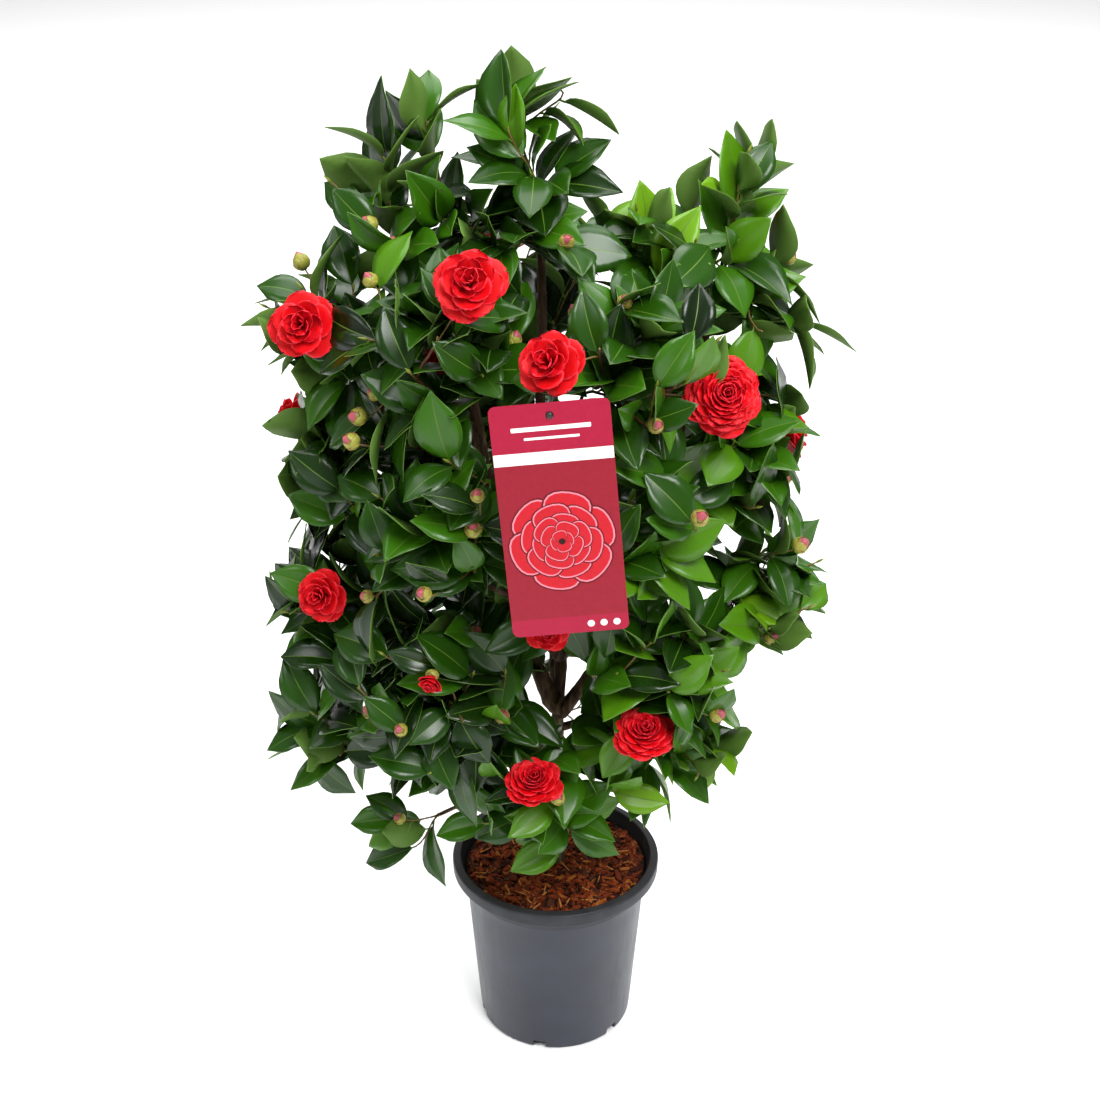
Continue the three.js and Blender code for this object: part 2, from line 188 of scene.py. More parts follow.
def skin(rows, around):
    """Quads, (rows - 1) x around of them, between closed rings of points, then the two end caps."""
    first = np.arange(rows - 1)[:, None] * around
    here = np.arange(around)[None, :]
    beside = (here + 1) % around
    quads = np.stack([first + here, first + beside, first + around + beside, first + around + here], 2)
    start = np.arange(around)[::-1][None, :]
    end = (rows - 1) * around + np.arange(around)[None, :]
    return quads, start, end


# ---- materials ----


def linear(code):
    """The linear colour of an sRGB code such as 3a5c1d."""
    shares = [int(code[i:i + 2], 16) / 255 for i in (0, 2, 4)]
    return [c / 12.92 if c <= 0.04045 else ((c + 0.055) / 1.055) ** 2.4 for c in shares] + [1.0]


def plain(name, code, roughness, specular=0.5):
    """One plain colour, for small things whose relief is in their mesh."""
    material = bpy.data.materials.new(name)
    material.use_nodes = True
    shader = material.node_tree.nodes["Principled BSDF"]
    shader.inputs["Base Color"].default_value = linear(code)
    shader.inputs["Roughness"].default_value = roughness
    shader.inputs["Specular IOR Level"].default_value = specular
    return material


# Each finish's plain materials, in the order of its slots: name, colour, roughness, specular level.
PLAIN = {
    "leaves": (
        ("leaf_midrib", "4b671f", 0.42, 0.3),
        # the paler margin green is partly the leaf's own pale edge and partly a painted highlight on
        # the curled edge
        ("leaf_margin_and_highlight", "5a7c2c", 0.45, 0.3),
        ("leaf_underside", "4f6e2a", 0.6, 0.25),
        ("leaf_green_deep", "081a02", 0.26, 0.35),
        ("leaf_green_shade", "112b03", 0.26, 0.35),
        ("leaf_green_mid", "1c3f04", 0.28, 0.33),
        ("leaf_green_full", "2c5806", 0.3, 0.3),
        ("leaf_green_light", "427008", 0.33, 0.3),
        ("leaf_green_fresh", "5b870d", 0.36, 0.3),
    ),
    "twigs": (
        ("twig_old", "43301f", 0.85, 0.25),
        ("twig_brown", "58341f", 0.7, 0.3),
        ("twig_young", "6a542a", 0.5, 0.35),
    ),
    "petals": (
        # a darker red for each petal's foot and some inner petals: painted shade where petals overlap
        # and in the heart
        ("petal_painted_shade", "9c0008", 0.6, 0.15),
        ("petal_red", "be0008", 0.55, 0.2),
        ("petal_bright", "cc000b", 0.55, 0.2),
        # a paler red for the petal's rim: a painted highlight where its edge catches the light
        ("petal_rim_painted_highlight", "d8162a", 0.5, 0.25),
        ("petal_back", "b80010", 0.6, 0.2),
    ),
    "buds": (
        ("bud_scale", "8b8a34", 0.45, 0.4),
        ("bud_green", "737c28", 0.5, 0.4),
        ("bud_tip", "9c4650", 0.5, 0.4),
        ("bud_scale_edge", "84583a", 0.6, 0.3),
    ),
    "chips": (
        ("chip_dark", "361206", 0.9, 0.2),
        ("chip_brown", "66280c", 0.85, 0.2),
        ("chip_red", "853812", 0.82, 0.2),
        ("chip_tan", "96521f", 0.85, 0.2),
        ("chip_grey", "4a2a1a", 0.9, 0.2),
        ("chip_splinter", "b4743a", 0.8, 0.2),
    ),
}
# The deep greens dealt out on the left, half way up, are painted shade.
FIRST_GREEN = 3  # the slot of the deepest green; the greens are dealt out by spray
GREENS = 6


def plains(finish):
    return [plain(*row) for row in PLAIN[finish]]


class Pattern:
    """A material whose colour, roughness and relief come from noise in the piece's own space."""

    def __init__(self, name, roughness, specular):
        self.material = plain(name, "e7e7e7", roughness, specular)
        self.tree = self.material.node_tree
        self.shader = self.tree.nodes["Principled BSDF"]
        self.place = self.tree.nodes.new("ShaderNodeTexCoord").outputs["Object"]

    def node(self, kind, source, entry, out, settings):
        """The output of a new node with these settings, fed by the source."""
        made = self.tree.nodes.new("ShaderNode" + kind)
        for name, value in settings.items():
            made.inputs[name].default_value = value
        self.tree.links.new(source, made.inputs[entry])
        return made.outputs[out]

    def feed(self, name, source):
        self.tree.links.new(source, self.shader.inputs[name])

    def noise(self, scale, stretch=(1, 1, 1), detail=4.0, roughness=0.55, distortion=0.0):
        place = self.node("Mapping", self.place, "Vector", "Vector", {"Scale": stretch})
        settings = {"Scale": scale, "Detail": detail, "Roughness": roughness, "Distortion": distortion}
        return self.node("TexNoise", place, "Vector", "Fac", settings)

    def colour(self, source, stops):
        """A colour for each (place, code) along the source's run."""
        out = self.node("ValToRGB", source, "Fac", "Color", {})
        elements = out.node.color_ramp.elements
        for element, (place, code) in zip(elements, stops):
            element.position = place
            element.color = linear(code)
        for place, code in stops[2:]:
            elements.new(place).color = linear(code)
        self.feed("Base Color", out)

    def roughness(self, source, low, high):
        settings = {"From Min": 0.3, "From Max": 0.7, "To Min": low, "To Max": high}
        self.feed("Roughness", self.node("MapRange", source, "Value", "Result", settings))

    def bump(self, source, strength, distance):
        settings = {"Strength": strength, "Distance": distance}
        self.feed("Normal", self.node("Bump", source, "Height", "Normal", settings))


def pot_plastic_darker(name, roughness, dark, light):
    """The same plastic in darker, greyer tones with a faint mottle: the lip's side, or its top and the
    inner wall.
    """
    made = Pattern(name, roughness, 0.3)
    scuffs = made.noise(38, (1, 1, 1), 5, 0.6)
    made.colour(scuffs, [(0.3, dark), (0.7, light)])
    return made.material


def pot_plastic():
    """Dark blue-grey polypropylene, satin, with faint scuffs and a dusty bloom."""
    made = Pattern("pot_plastic", 0.36, 0.5)
    cloud = made.noise(9, (1, 1, 1.6), 5, 0.6)
    scuffs = made.noise(60, (1, 1, 0.25), 6, 0.7, 0.4)
    made.colour(cloud, [(0.25, "242731"), (0.75, "313542")])
    made.roughness(scuffs, 0.3, 0.46)
    made.bump(scuffs, 0.12, 0.4 * MM)
    return made.material


def bark(name, dark, middle, light, scale=70):
    """Stringy bark with pale ridges and dark fissures along the stem."""
    made = Pattern(name, 0.85, 0.25)
    strings = made.noise(scale, (1.6, 1.6, 0.28), 6, 0.65, 0.6)
    made.colour(strings, [(0.3, dark), (0.72, light), (0.5, middle)])
    made.roughness(strings, 0.92, 0.74)
    made.bump(strings, 0.55, 1.2 * MM)
    return made.material


def compost():
    """The dark bed under the loose chips."""
    made = Pattern("compost", 0.95, 0.2)
    crumbs = made.noise(160, (1, 1, 1), 6, 0.7)
    made.colour(crumbs, [(0.3, "120904"), (0.7, "3a1e10")])
    made.bump(crumbs, 0.9, 2.5 * MM)
    return made.material


# ---- limbs and masses read from the frame ----


RING_GAP = 9 * MM  # corners of a limb farther apart than this along it are of two rings


def limb_axis(name):
    """The middle and radius of each ring of a packed limb, from its thick end to its thin one."""
    corners = np.array([v.co for v in frame["nodes"][name].data.vertices], float)
    middle = corners.mean(0)
    along = np.linalg.svd(corners - middle, full_matrices=False)[2][0]
    order = np.argsort(corners @ along)
    corners = corners[order]
    shares = corners @ along
    breaks = np.where(np.diff(shares) > RING_GAP)[0] + 1
    rings = [ring for ring in np.split(corners, breaks) if len(ring) >= 4]
    axis = []
    for ring in rings:
        centre = (ring.min(0) + ring.max(0)) / 2
        axis.append((Vector(centre), float(np.linalg.norm(ring - centre, axis=1).mean())))
    if axis[0][1] + axis[1][1] < axis[-1][1] + axis[-2][1]:
        axis.reverse()
    return axis


SLANT = Vector((0.31, 0.57, 0.76)).normalized()  # along no edge of a mass


class Mass:
    """A packed mass of foliage, and how deep inside it a point lies."""

    def __init__(self, name):
        mesh = frame["nodes"][name].data
        self.name = name
        self.corners = [v.co.copy() for v in mesh.vertices]
        self.tree = BVHTree.FromPolygons(self.corners, [tuple(p.vertices) for p in mesh.polygons])
        self.low, self.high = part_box(name)
        self.middle = sum(self.corners, Vector()) / len(self.corners)
        self.thin = min(self.high - self.low) < THIN

    def near(self, place, margin):
        return all(self.low[k] - margin < place[k] < self.high[k] + margin for k in range(3))

    def holds(self, place):
        """True inside the mass: a slanting line outward crosses its surface an odd number of times."""
        crossings = 0
        start = place
        while crossings < 9:
            struck = self.tree.ray_cast(start, SLANT)[0]
            if struck is None:
                break
            crossings += 1
            start = struck + SLANT * 0.01 * MM
        return crossings % 2 == 1

    def depth(self, place):
        """Metres inside the mass's surface, and less than nought outside it."""
        distance = self.tree.find_nearest(place)[3]
        return distance if self.near(place, 0) and self.holds(place) else -distance

    def at(self, shares):
        """The point at these shares of the mass's box."""
        return Vector([self.low[k] + shares[k] * (self.high[k] - self.low[k]) for k in range(3)])

    def spurs(self):
        """The surface's outermost corners, where a leaf tip draws the mass out."""
        reaches = [(corner - self.middle).length for corner in self.corners]
        usual = sorted(reaches)[len(reaches) // 2]
        found = []
        for corner, reach in sorted(zip(self.corners, reaches), key=lambda pair: -pair[1]):
            direction = (corner - self.middle).normalized()
            half = (self.high - self.low) / 2
            own = Vector([abs(direction[k]) * half[k] for k in range(3)]).length
            drawn_out = reach > 1.05 * own or reach > 1.25 * usual
            if drawn_out and all((corner - other).length > SPUR_SPACING for other in found):
                found.append(corner)
        return found


LIMBS = [n for n in frame["nodes"] if n.startswith("bough_") or n in ("trunk", "leader")]
NOT_FOLIAGE = set(LIMBS) | {"pot", "soil", "plant_card"}
masses = {name: Mass(name) for name in sorted(frame["nodes"]) if name not in NOT_FOLIAGE}
FAR_OUT = -60 * MM  # the depth given to a point that is farther than this from every mass


def crown_depth(place):
    """How deep a point lies inside the nearest mass of the crown."""
    depths = [mass.depth(place) for mass in masses.values() if mass.near(place, -FAR_OUT)]
    return max(depths, default=FAR_OUT)


def ball_directions(count):
    """Directions spread evenly over a ball."""
    made = []
    for i in range(count):
        height = 1 - 2 * (i + 0.5) / count
        ring = math.sqrt(1 - height * height)
        made.append(Vector((ring * math.cos(i * GOLDEN), ring * math.sin(i * GOLDEN), height)))
    return made


FEELERS = ball_directions(18)


def openness(place):
    """The share of directions in which the crown's outside is within a shell's depth."""
    return sum(crown_depth(place + SHELL * d) < -3 * MM for d in FEELERS) / len(FEELERS)


def outward(place):
    """Level, away from the crown's upright axis."""
    away = Vector((place.x, place.y, 0))
    return away.normalized() if away.length > 1 * MM else Vector((0, -1, 0))


def facing(azimuth, elevation):
    """A direction: azimuth 0 is the plant's front and 90 its right, elevation is above level."""
    a = math.radians(azimuth)
    e = math.radians(elevation)
    return Vector((math.sin(a) * math.cos(e), -math.cos(a) * math.cos(e), math.sin(e)))


# ---- where the blooms and the buds that show most are ----

# The mass, the place as shares of its box, the width in millimetres, the way the bloom faces
# (azimuth, elevation), how many petals it has and how far it is open.
BLOOMS = [
    ("side_left_high", (0.47, 0.05, 0.75), 70, (-8, 28), 19, 0.92),
    ("front_high_left", (0.65, 0.09, 0.97), 70, (0, 34), 20, 0.95),
    ("front_high_right", (0.07, -0.10, 0.62), 67, (-22, 34), 18, 0.9),
    ("front_high_right", (0.98, 0.55, 0.21), 77, (10, 30), 66, 1.0),
    ("front_low_right", (0.44, 0.20, 0.28), 64, (4, 62), 46, 0.95),
    ("foot_front", (0.43, 0.10, 0.97), 62, (-4, 66), 40, 0.95),
    ("side_left_low", (0.52, 0.08, 0.75), 60, (-20, 22), 20, 0.9),
    ("top_right", (0.60, 0.75, 0.16), 48, (25, 15), 20, 0.8),
    ("front_low_left", (0.49, 0.06, 0.80), 38, (-12, -20), 12, 0.5),
    ("front_high_left", (0.51, 0.72, 0.29), 54, (-24, 22), 18, 0.85),
    ("front_mid_right", (0.15, 0.40, -0.03), 50, (0, 12), 18, 0.85),
    ("back_high", (0.32, 0.97, 0.62), 72, (190, 28), 50, 0.95),
    ("back_right", (0.80, 0.90, 0.62), 74, (150, 26), 44, 1.0),
    ("back_left", (0.16, 0.86, 0.40), 68, (215, 24), 20, 0.92),
    ("back_low", (0.62, 0.98, 0.55), 65, (172, 40), 40, 0.95),
    ("side_right_mid", (0.84, 0.94, 0.40), 68, (110, 24), 20, 0.92),
    ("side_left_mid", (0.10, 0.90, 0.60), 62, (-105, 26), 20, 0.92),
]

# The mass and the shares of its box where a fat bud shows.
BUDS = [
    ("front_high_left", (0.12, 0.80, 0.77)),
    ("shoulder_left", (0.72, 0.05, 0.19)),
    ("shoulder_left", (0.50, 0.12, 0.30)),
    ("front_high_left", (0.07, 0.50, 0.04)),
    ("front_high_left", (0.14, 0.55, 0.15)),
    ("front_mid_left", (0.02, 0.55, 0.88)),
    ("front_mid_left", (0.76, 0.02, 0.74)),
    ("front_mid_left", (0.06, 0.50, 0.03)),
    ("front_mid_left", (0.44, 0.06, 0.19)),
    ("upper_centre", (0.78, 0.10, 0.54)),
    ("front_high_right", (0.46, 0.50, 0.80)),
    ("front_mid_right", (0.88, 0.05, 0.70)),
    ("front_high_right", (0.61, 0.12, 0.15)),
    ("side_right_low", (0.66, 0.20, 0.95)),
    ("foot_left_spray", (0.45, 0.30, 0.72)),
    ("foot_front", (0.58, 0.05, 0.82)),
    ("front_low_left", (0.33, 0.12, 0.52)),
]


FRONT_VIEW = facing(0, 27)  # the way from which the plant's front shows best


class Bloom:
    """A bloom's place and size, and the space it keeps free of leaves."""

    def __init__(self, mass, shares, width, way, petals, opened):
        self.mass = mass
        self.radius = width * MM / 2
        self.way = facing(*way)
        self.centre = masses[mass].at(shares)
        self.base = self.centre - self.way * self.radius * 0.45
        self.petals = petals
        self.opened = opened
        hidden = mass == "top_right" or opened < 0.87
        self.reach = (20 if hidden else 110) * MM  # how far before it leaves are kept off

    def hides(self, place):
        """True where a leaf would cut the bloom or cover its face."""
        away = place - self.centre
        along = away.dot(self.way)
        aside = (away - self.way * along).length
        if away.length < 0.8 * self.radius:
            return True
        front = self.centre.y < 0 and self.reach > 50 * MM
        view = FRONT_VIEW if front else self.way
        ahead = away.dot(view)
        beside = (away - view * ahead).length
        in_front = 0 < ahead < self.reach and beside < 0.86 * self.radius
        return in_front or (-0.1 * self.radius < along < self.reach and aside < 0.8 * self.radius)


blooms = [Bloom(*row) for row in BLOOMS]


class Card:
    """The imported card's middle, its three directions, half its width and half its height."""

    def __init__(self):
        corners = np.array([v.co for v in frame["nodes"]["plant_card"].data.vertices], float)
        low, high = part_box("plant_card")
        self.centre = (low + high) / 2
        steps = np.linalg.svd(corners - corners.mean(0), full_matrices=False)[2]
        self.front = Vector(steps[2]) * (1 if steps[2][1] < 0 else -1)
        rise = UP - self.front * UP.dot(self.front)
        long_way = Vector(steps[0]) * (1 if steps[0][2] > 0 else -1)
        self.up = (long_way - self.front * long_way.dot(self.front)).normalized()
        if self.up.dot(rise) < 0:
            self.up = -self.up
        self.right = self.up.cross(self.front)
        if self.right.x < 0:
            self.right = -self.right
        spread = corners - np.array(self.centre)
        self.half_width = float(np.abs(spread @ np.array(self.right)).max())
        self.half_height = float(np.abs(spread @ np.array(self.up)).max())

    def place(self, right, up, front=0.0):
        return self.centre + self.right * right + self.up * up + self.front * front

    def hides(self, place):
        """True in the card, just behind it and anywhere before it."""
        away = place - self.centre
        if away.dot(self.front) < -9 * MM:
            return False
        margin = 3 * MM
        beside = abs(away.dot(self.right)) < self.half_width + margin
        return beside and abs(away.dot(self.up)) < self.half_height + margin


card = Card()


class Gap(Record):
    """A gap in the leaves through which wood shows from the front and a little above."""

    def holds(self, place):
        height = place.z + self.sight_rise * place.y
        if abs(place.x - self.x) > self.half_width or place.y >= 20 * MM:
            return False
        return self.low < height < self.high


# Before the trunk's fork and before the leader. The line of sight to the wood rises towards the front.
fork_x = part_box("trunk")[1].x - 14 * MM
leader_x = sum(corner.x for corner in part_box("leader")) / 2
gaps = [
    Gap(x=fork_x, half_width=21 * MM, low=425 * MM, high=545 * MM, sight_rise=0.62),
    Gap(x=leader_x, half_width=24 * MM, low=900 * MM, high=1010 * MM, sight_rise=0.38),
]


def clear(place):
    """True where neither the card, a bloom nor a gap in the leaves is in the way."""
    if card.hides(place) or any(gap.holds(place) for gap in gaps):
        return False
    return not any(bloom.hides(place) for bloom in blooms)


# ---- the branching ----


class Knot(Record):
    """A point of a limb or twig: its place, its heading, the knot below it and the path up to it."""

    path = 0.0  # on a limb
    load = 0  # how many tips it bears
    limit = 1.0  # the radius that twigs from it keep within


class Shoot(Record):
    """A twig's knots, from one of the skeleton to its tip, and the aim that it reaches."""

    def tip(self):
        return self.knots[-1].place

    def heading(self):
        return (self.knots[-1].place - self.knots[-2].place).normalized()

    def back_from_tip(self, distance):
        """The place and heading this far down from the tip, and None below the shoot's foot."""
        left = distance
        for upper, lower in zip(self.knots[::-1], self.knots[-2::-1]):
            step = (upper.place - lower.place).length
            if left <= step:
                heading = (upper.place - lower.place).normalized()
                return upper.place - heading * left, heading
            left -= step
        return None


def bezier(start, handle_a, handle_b, end, steps):
    made = []
    for i in range(1, steps + 1):
        t = i / steps
        s = 1 - t
        made.append(start * s ** 3 + handle_a * 3 * s * s * t + handle_b * 3 * s * t * t + end * t ** 3)
    return made


def limb_knots():
    """Each packed limb's axis, and the knots every few millimetres along it."""
    axes = {name: limb_axis(name) for name in LIMBS}
    knots = {}
    for name, axis in axes.items():
        row = []
        for (a, radius_a), (b, radius_b) in zip(axis, axis[1:]):
            count = max(1, round((b - a).length / LIMB_STEP))
            for i in range(count + 1):
                if i == 0 and row:
                    continue
                share = i / count
                knot = Knot(place=a.lerp(b, share), heading=(b - a).normalized())
                knot.parent = row[-1] if row else None
                knot.limit = radius_a + (radius_b - radius_a) * share
                row.append(knot)
        knots[name] = row
    return axes, knots


def mass_at_end(row):
    """The mass that a limb grows into."""
    beyond = row[-1].place + row[-1].heading * 14 * MM
    return max(masses.values(), key=lambda mass: mass.depth(beyond)).name


def outer_and_inner_tips(rng):
    """Seeded shoot tips: close together near the crown's outside, and fewer within it."""
    outer = []
    inner = []
    for mass in masses.values():
        size = mass.high - mass.low
        tries = int(size.x * size.y * size.z / TRIAL_CELL ** 3)
        for _ in range(tries):
            place = mass.at([rng.random() for _ in range(3)])
            if mass.depth(place) < TIP_INSET or not clear(place):
                continue
            share = openness(place)
            if share >= OUTER_SHARE:
                outer.append((place, mass.name, share))
            elif share < INNER_SHARE:
                inner.append((place, mass.name, share))
    return outer, inner


class Spacing:
    """Places kept in cells, to find whether a new one is too near any of them."""

    def __init__(self, cell):
        self.cell = cell
        self.cells = {}

    def key(self, place):
        return tuple(int(math.floor(c / self.cell)) for c in place)

    def take(self, place):
        self.cells.setdefault(self.key(place), []).append(place)

    def crowded(self, place, gap):
        """True if a taken place is nearer than the gap, which is no wider than a cell."""
        i, j, k = self.key(place)
        near = [(i + a, j + b, k + c) for a in (-1, 0, 1) for b in (-1, 0, 1) for c in (-1, 0, 1)]
        return any((place - other).length < gap for cell in near for other in self.cells.get(cell, ()))


def spread_out(candidates, taken, spacing, rng):
    """Picks candidates in a seeded order, none within the spacing of another or of a taken place."""
    rng.shuffle(candidates)
    space = Spacing(spacing * max(SPARSE.values()))
    for place in taken:
        space.take(place)
    picked = []
    for place, name, share in candidates:
        if not space.crowded(place, spacing * SPARSE.get(name, 1)):
            picked.append((place, name, share))
            space.take(place)
    return picked


class Aim(Record):
    """A tip that a shoot is to reach: its place, its mass and what it bears."""

    way = None  # in which the shoot arrives
    spur = None  # the drawn-out corner of the mass beyond it
    bloom = None
    knot = None  # from which the shoot has to grow


def spread_way(away):
    """The way a leaf reaches a drawn-out corner: outward, and up or down no more than half way."""
    level = Vector((away.x, away.y, 0))
    rise = max(-0.5, min(0.55, away.z / max(away.length, MM)))
    return (level.normalized() * math.sqrt(1 - rise * rise) + UP * rise).normalized()


def spur_aims():
    """A shoot for each drawn-out corner of a mass, ending a leaf's length short of it."""
    made = []
    for mass in masses.values():
        for corner in mass.spurs():
            way = spread_way(corner - mass.middle)
            place = corner - way * LEAF_LENGTH * 0.88
            if not clear(corner) or not clear(place) or crown_depth(place) < -9 * MM:
                continue
            made.append(Aim(place=place, mass=mass.name, kind="leafy", way=way, spur=corner))
    return made


def sprig_aims(limbs, rng):
    """Short leafy shoots along the boughs where these run bare between the masses."""
    made = []
    for name, row in limbs.items():
        if name in ("trunk", "leader"):
            continue
        for knot in row[2:-1]:
            place = knot.place
            far_out = math.hypot(place.x, place.y) > SPRIG_REACH
            if far_out or place.z < SPRIG_LOWEST or crown_depth(place) > -2 * MM:
                continue
            if any((place - other.knot.place).length < SPRIG_SPACING for other in made):
                continue
            away = Vector([rng.uniform(-1, 1), rng.uniform(-1, 1), rng.uniform(-0.3, 0.8)])
            way = (away - knot.heading * away.dot(knot.heading) + outward(place) * 0.5).normalized()
            end = place + way * rng.uniform(28, 60) * MM
            if not clear(end):
                continue
            nearest = max(masses.values(), key=lambda mass: mass.depth(end)).name
            made.append(Aim(place=end, mass=nearest, kind="leafy", way=way, knot=knot))
    return made


def all_aims(limbs, rng):
    """Every tip to be reached: blooms, listed buds, drawn-out corners, bare boughs, then the rest."""
    aims = []
    for bloom in blooms:
        place = bloom.base - bloom.way * 5 * MM
        aims.append(Aim(place=place, mass=bloom.mass, kind="bloom", way=bloom.way, bloom=bloom))
    for name, shares in BUDS:
        place = masses[name].at(shares)
        way = (outward(place) * 0.8 + UP * 0.5).normalized()
        if not card.hides(place):
            aims.append(Aim(place=place - way * 8 * MM, mass=name, kind="bud", way=way))
    for aim in spur_aims():
        if all((aim.place - other.place).length > SPUR_ROOM for other in aims):
            aims.append(aim)
    aims += sprig_aims(limbs, rng)
    outer, inner = outer_and_inner_tips(rng)
    taken = [aim.place for aim in aims]
    chosen = spread_out(outer, taken, OUTER_SPACING, rng)
    taken += [row[0] for row in chosen]
    chosen += spread_out(inner, taken, INNER_SPACING, rng)
    for place, name, share in chosen:
        budding = share >= OUTER_SHARE and rng.random() < BUD_SHARE
        kind = "bud" if budding and not masses[name].thin else "leafy"
        aims.append(Aim(place=place, mass=name, kind=kind))
    return aims


def attach_cost(knot, aim):
    """Low for a knot that is near the aim, points towards it and isn't far out already."""
    away = aim.place - knot.place
    distance = away.length
    if distance < SHORTEST_TWIG:
        return math.inf
    turn = 1 - away.dot(knot.heading) / distance
    return distance * (1 + TURN_COST * turn) + PATH_COST * knot.path


def grow_shoot(knot, aim, rng):
    """A gently bent twig from the knot to the aim, as new knots."""
    away = aim.place - knot.place
    distance = away.length
    start_way = (knot.heading * 0.5 + away / distance * 0.8).normalized()
    end_way = aim.way or (away / distance * 0.6 + outward(aim.place) * 0.45 + UP * 0.35).normalized()
    steps = max(3, round(distance / TWIG_STEP))
    places = bezier(
        knot.place,
        knot.place + start_way * distance * 0.36,
        aim.place - end_way * distance * 0.3,
        aim.place,
        steps,
    )
    made = [knot]
    for i, place in enumerate(places):
        wobble = 0.9 * MM * math.sin(math.pi * (i + 1) / steps) * (-1) ** i
        if i < len(places) - 1:
            place = place + Vector([rng.uniform(-1, 1) for _ in range(3)]) * wobble
        last = made[-1]
        heading = (place - last.place).normalized()
        path = last.path + (place - last.place).length
        made.append(Knot(place=place, heading=heading, parent=last, path=path))
    return made


def grow_crown(rng):
    """All the shoots, each from the cheapest place on the limbs or on an earlier shoot of its mass."""
    axes, limbs = limb_knots()
    own = {}
    for name, row in limbs.items():
        if name != "trunk":
            own.setdefault(mass_at_end(row), []).append(row)
    every_limb = [knot for name, row in limbs.items() if name != "trunk" for knot in row]
    shoots = []
    aims = all_aims(limbs, rng)
    for name, mass in masses.items():
        starts = [knot for row in own.get(name, []) for knot in row[-4:]]
        starts += [knot for knot in every_limb if mass.near(knot.place, 4 * MM)
                   and mass.depth(knot.place) > -12 * MM]
        if not starts:
            starts = sorted(every_limb, key=lambda knot: (knot.place - mass.middle).length)[:3]
        root = starts[0].place
        skeleton = list(dict.fromkeys(starts))
        wanted = [aim for aim in aims if aim.mass == name]
        wanted.sort(key=lambda aim: (aim.place - root).length)
        for aim in wanted:
            knot = aim.knot or min(skeleton, key=lambda k: attach_cost(k, aim))
            made = grow_shoot(knot, aim, rng)
            shoots.append(Shoot(knots=made, aim=aim))
            skeleton += made[1:-2]
    for shoot in shoots:
        knot = shoot.knots[-1]
        while knot is not None:
            knot.load += 1
            knot = knot.parent
    return axes, shoots


# ---- tubes: limbs, twigs and stalks ----


def tube_rings(places, radii, sides, relief):
    """Rings of points square to a run of places, turning no more than the run does."""
    places = [Vector(p) for p in places]
    rings = []
    across = None
    for i, place in enumerate(places):
        ahead = places[min(i + 1, len(places) - 1)] - places[max(i - 1, 0)]
        ahead.normalize()
        if across is None:
            across = ahead.orthogonal()
        across = (across - ahead * across.dot(ahead)).normalized()
        aside = ahead.cross(across)
        ring = []
        for j in range(sides):
            angle = math.tau * j / sides
            way = across * math.cos(angle) + aside * math.sin(angle)
            point = place + way * radii[i]
            if relief:
                point = point + way * relief(point, radii[i])
            ring.append(point)
        rings.append(ring)
    return np.array(rings, float)


def add_tube(heap, places, radii, sides, slots, relief=None):
    """A closed tube: slots holds one slot for each stretch between rings."""
    rings = tube_rings(places, radii, sides, relief)
    quads, start, end = skin(len(rings), sides)
    groups = [(quads[i], slots[i], False) for i in range(len(quads))]
    groups += [(start, slots[0], True), (end, slots[-1], True)]
    heap.add(rings, groups)


def smooth_run(axis, step):
    """Places and radii every step along a limb's axis, by a Catmull-Rom curve through its rings."""
    points = [p for p, _ in axis]
    radii = [r for _, r in axis]
    points = [points[0] * 2 - points[1]] + points + [points[-1] * 2 - points[-2]]
    places = []
    widths = []
    for i in range(1, len(points) - 2):
        p0, p1, p2, p3 = points[i - 1:i + 3]
        count = max(1, round((p2 - p1).length / step))
        for k in range(count):
            t = k / count
            places.append(0.5 * (2 * p1 + (p2 - p0) * t + (2 * p0 - 5 * p1 + 4 * p2 - p3) * t * t
                                 + (3 * p1 - p0 - 3 * p2 + p3) * t ** 3))
            widths.append(radii[i - 1] + (radii[i] - radii[i - 1]) * t)
    places.append(points[-2])
    widths.append(radii[-1])
    return places, widths


def bark_relief(point, radius):
    """Strings and swellings of the bark at a point, in metres along its normal."""
    strings = noise.noise(Vector((point.x * 420, point.y * 420, point.z * 55)))
    lumps = noise.noise(point * 60)
    return radius * (0.085 * strings + 0.07 * lumps)


def nearest_on_limbs(axes, name, place):
    """The nearest middle line point of any other limb."""
    best = None
    for other, axis in axes.items():
        if other == name:
            continue
        for (a, _), (b, _) in zip(axis, axis[1:]):
            run = b - a
            share = max(0.0, min(1.0, (place - a).dot(run) / run.length_squared))
            spot = a + run * share
            if best is None or (spot - place).length < (best - place).length:
                best = spot
    return best


def bough_radii(places, radii):
    """A bough's radii with a collar where it joins and a slight swelling at each old joint."""
    run = 0.0
    shaped = []
    for i, radius in enumerate(radii):
        run += (places[i] - places[i - 1]).length if i else 0.0
        collar = 1 + 0.35 * math.exp(-run / (9 * MM))
        joint = 1 + 0.10 * math.exp(-((run % (62 * MM)) / (5 * MM)) ** 2)
        shaped.append(radius * collar * joint)
    return shaped


def add_limb(heap, places, radii, sides):
    add_tube(heap, places, radii, sides, [0] * (len(places) - 1), bark_relief)


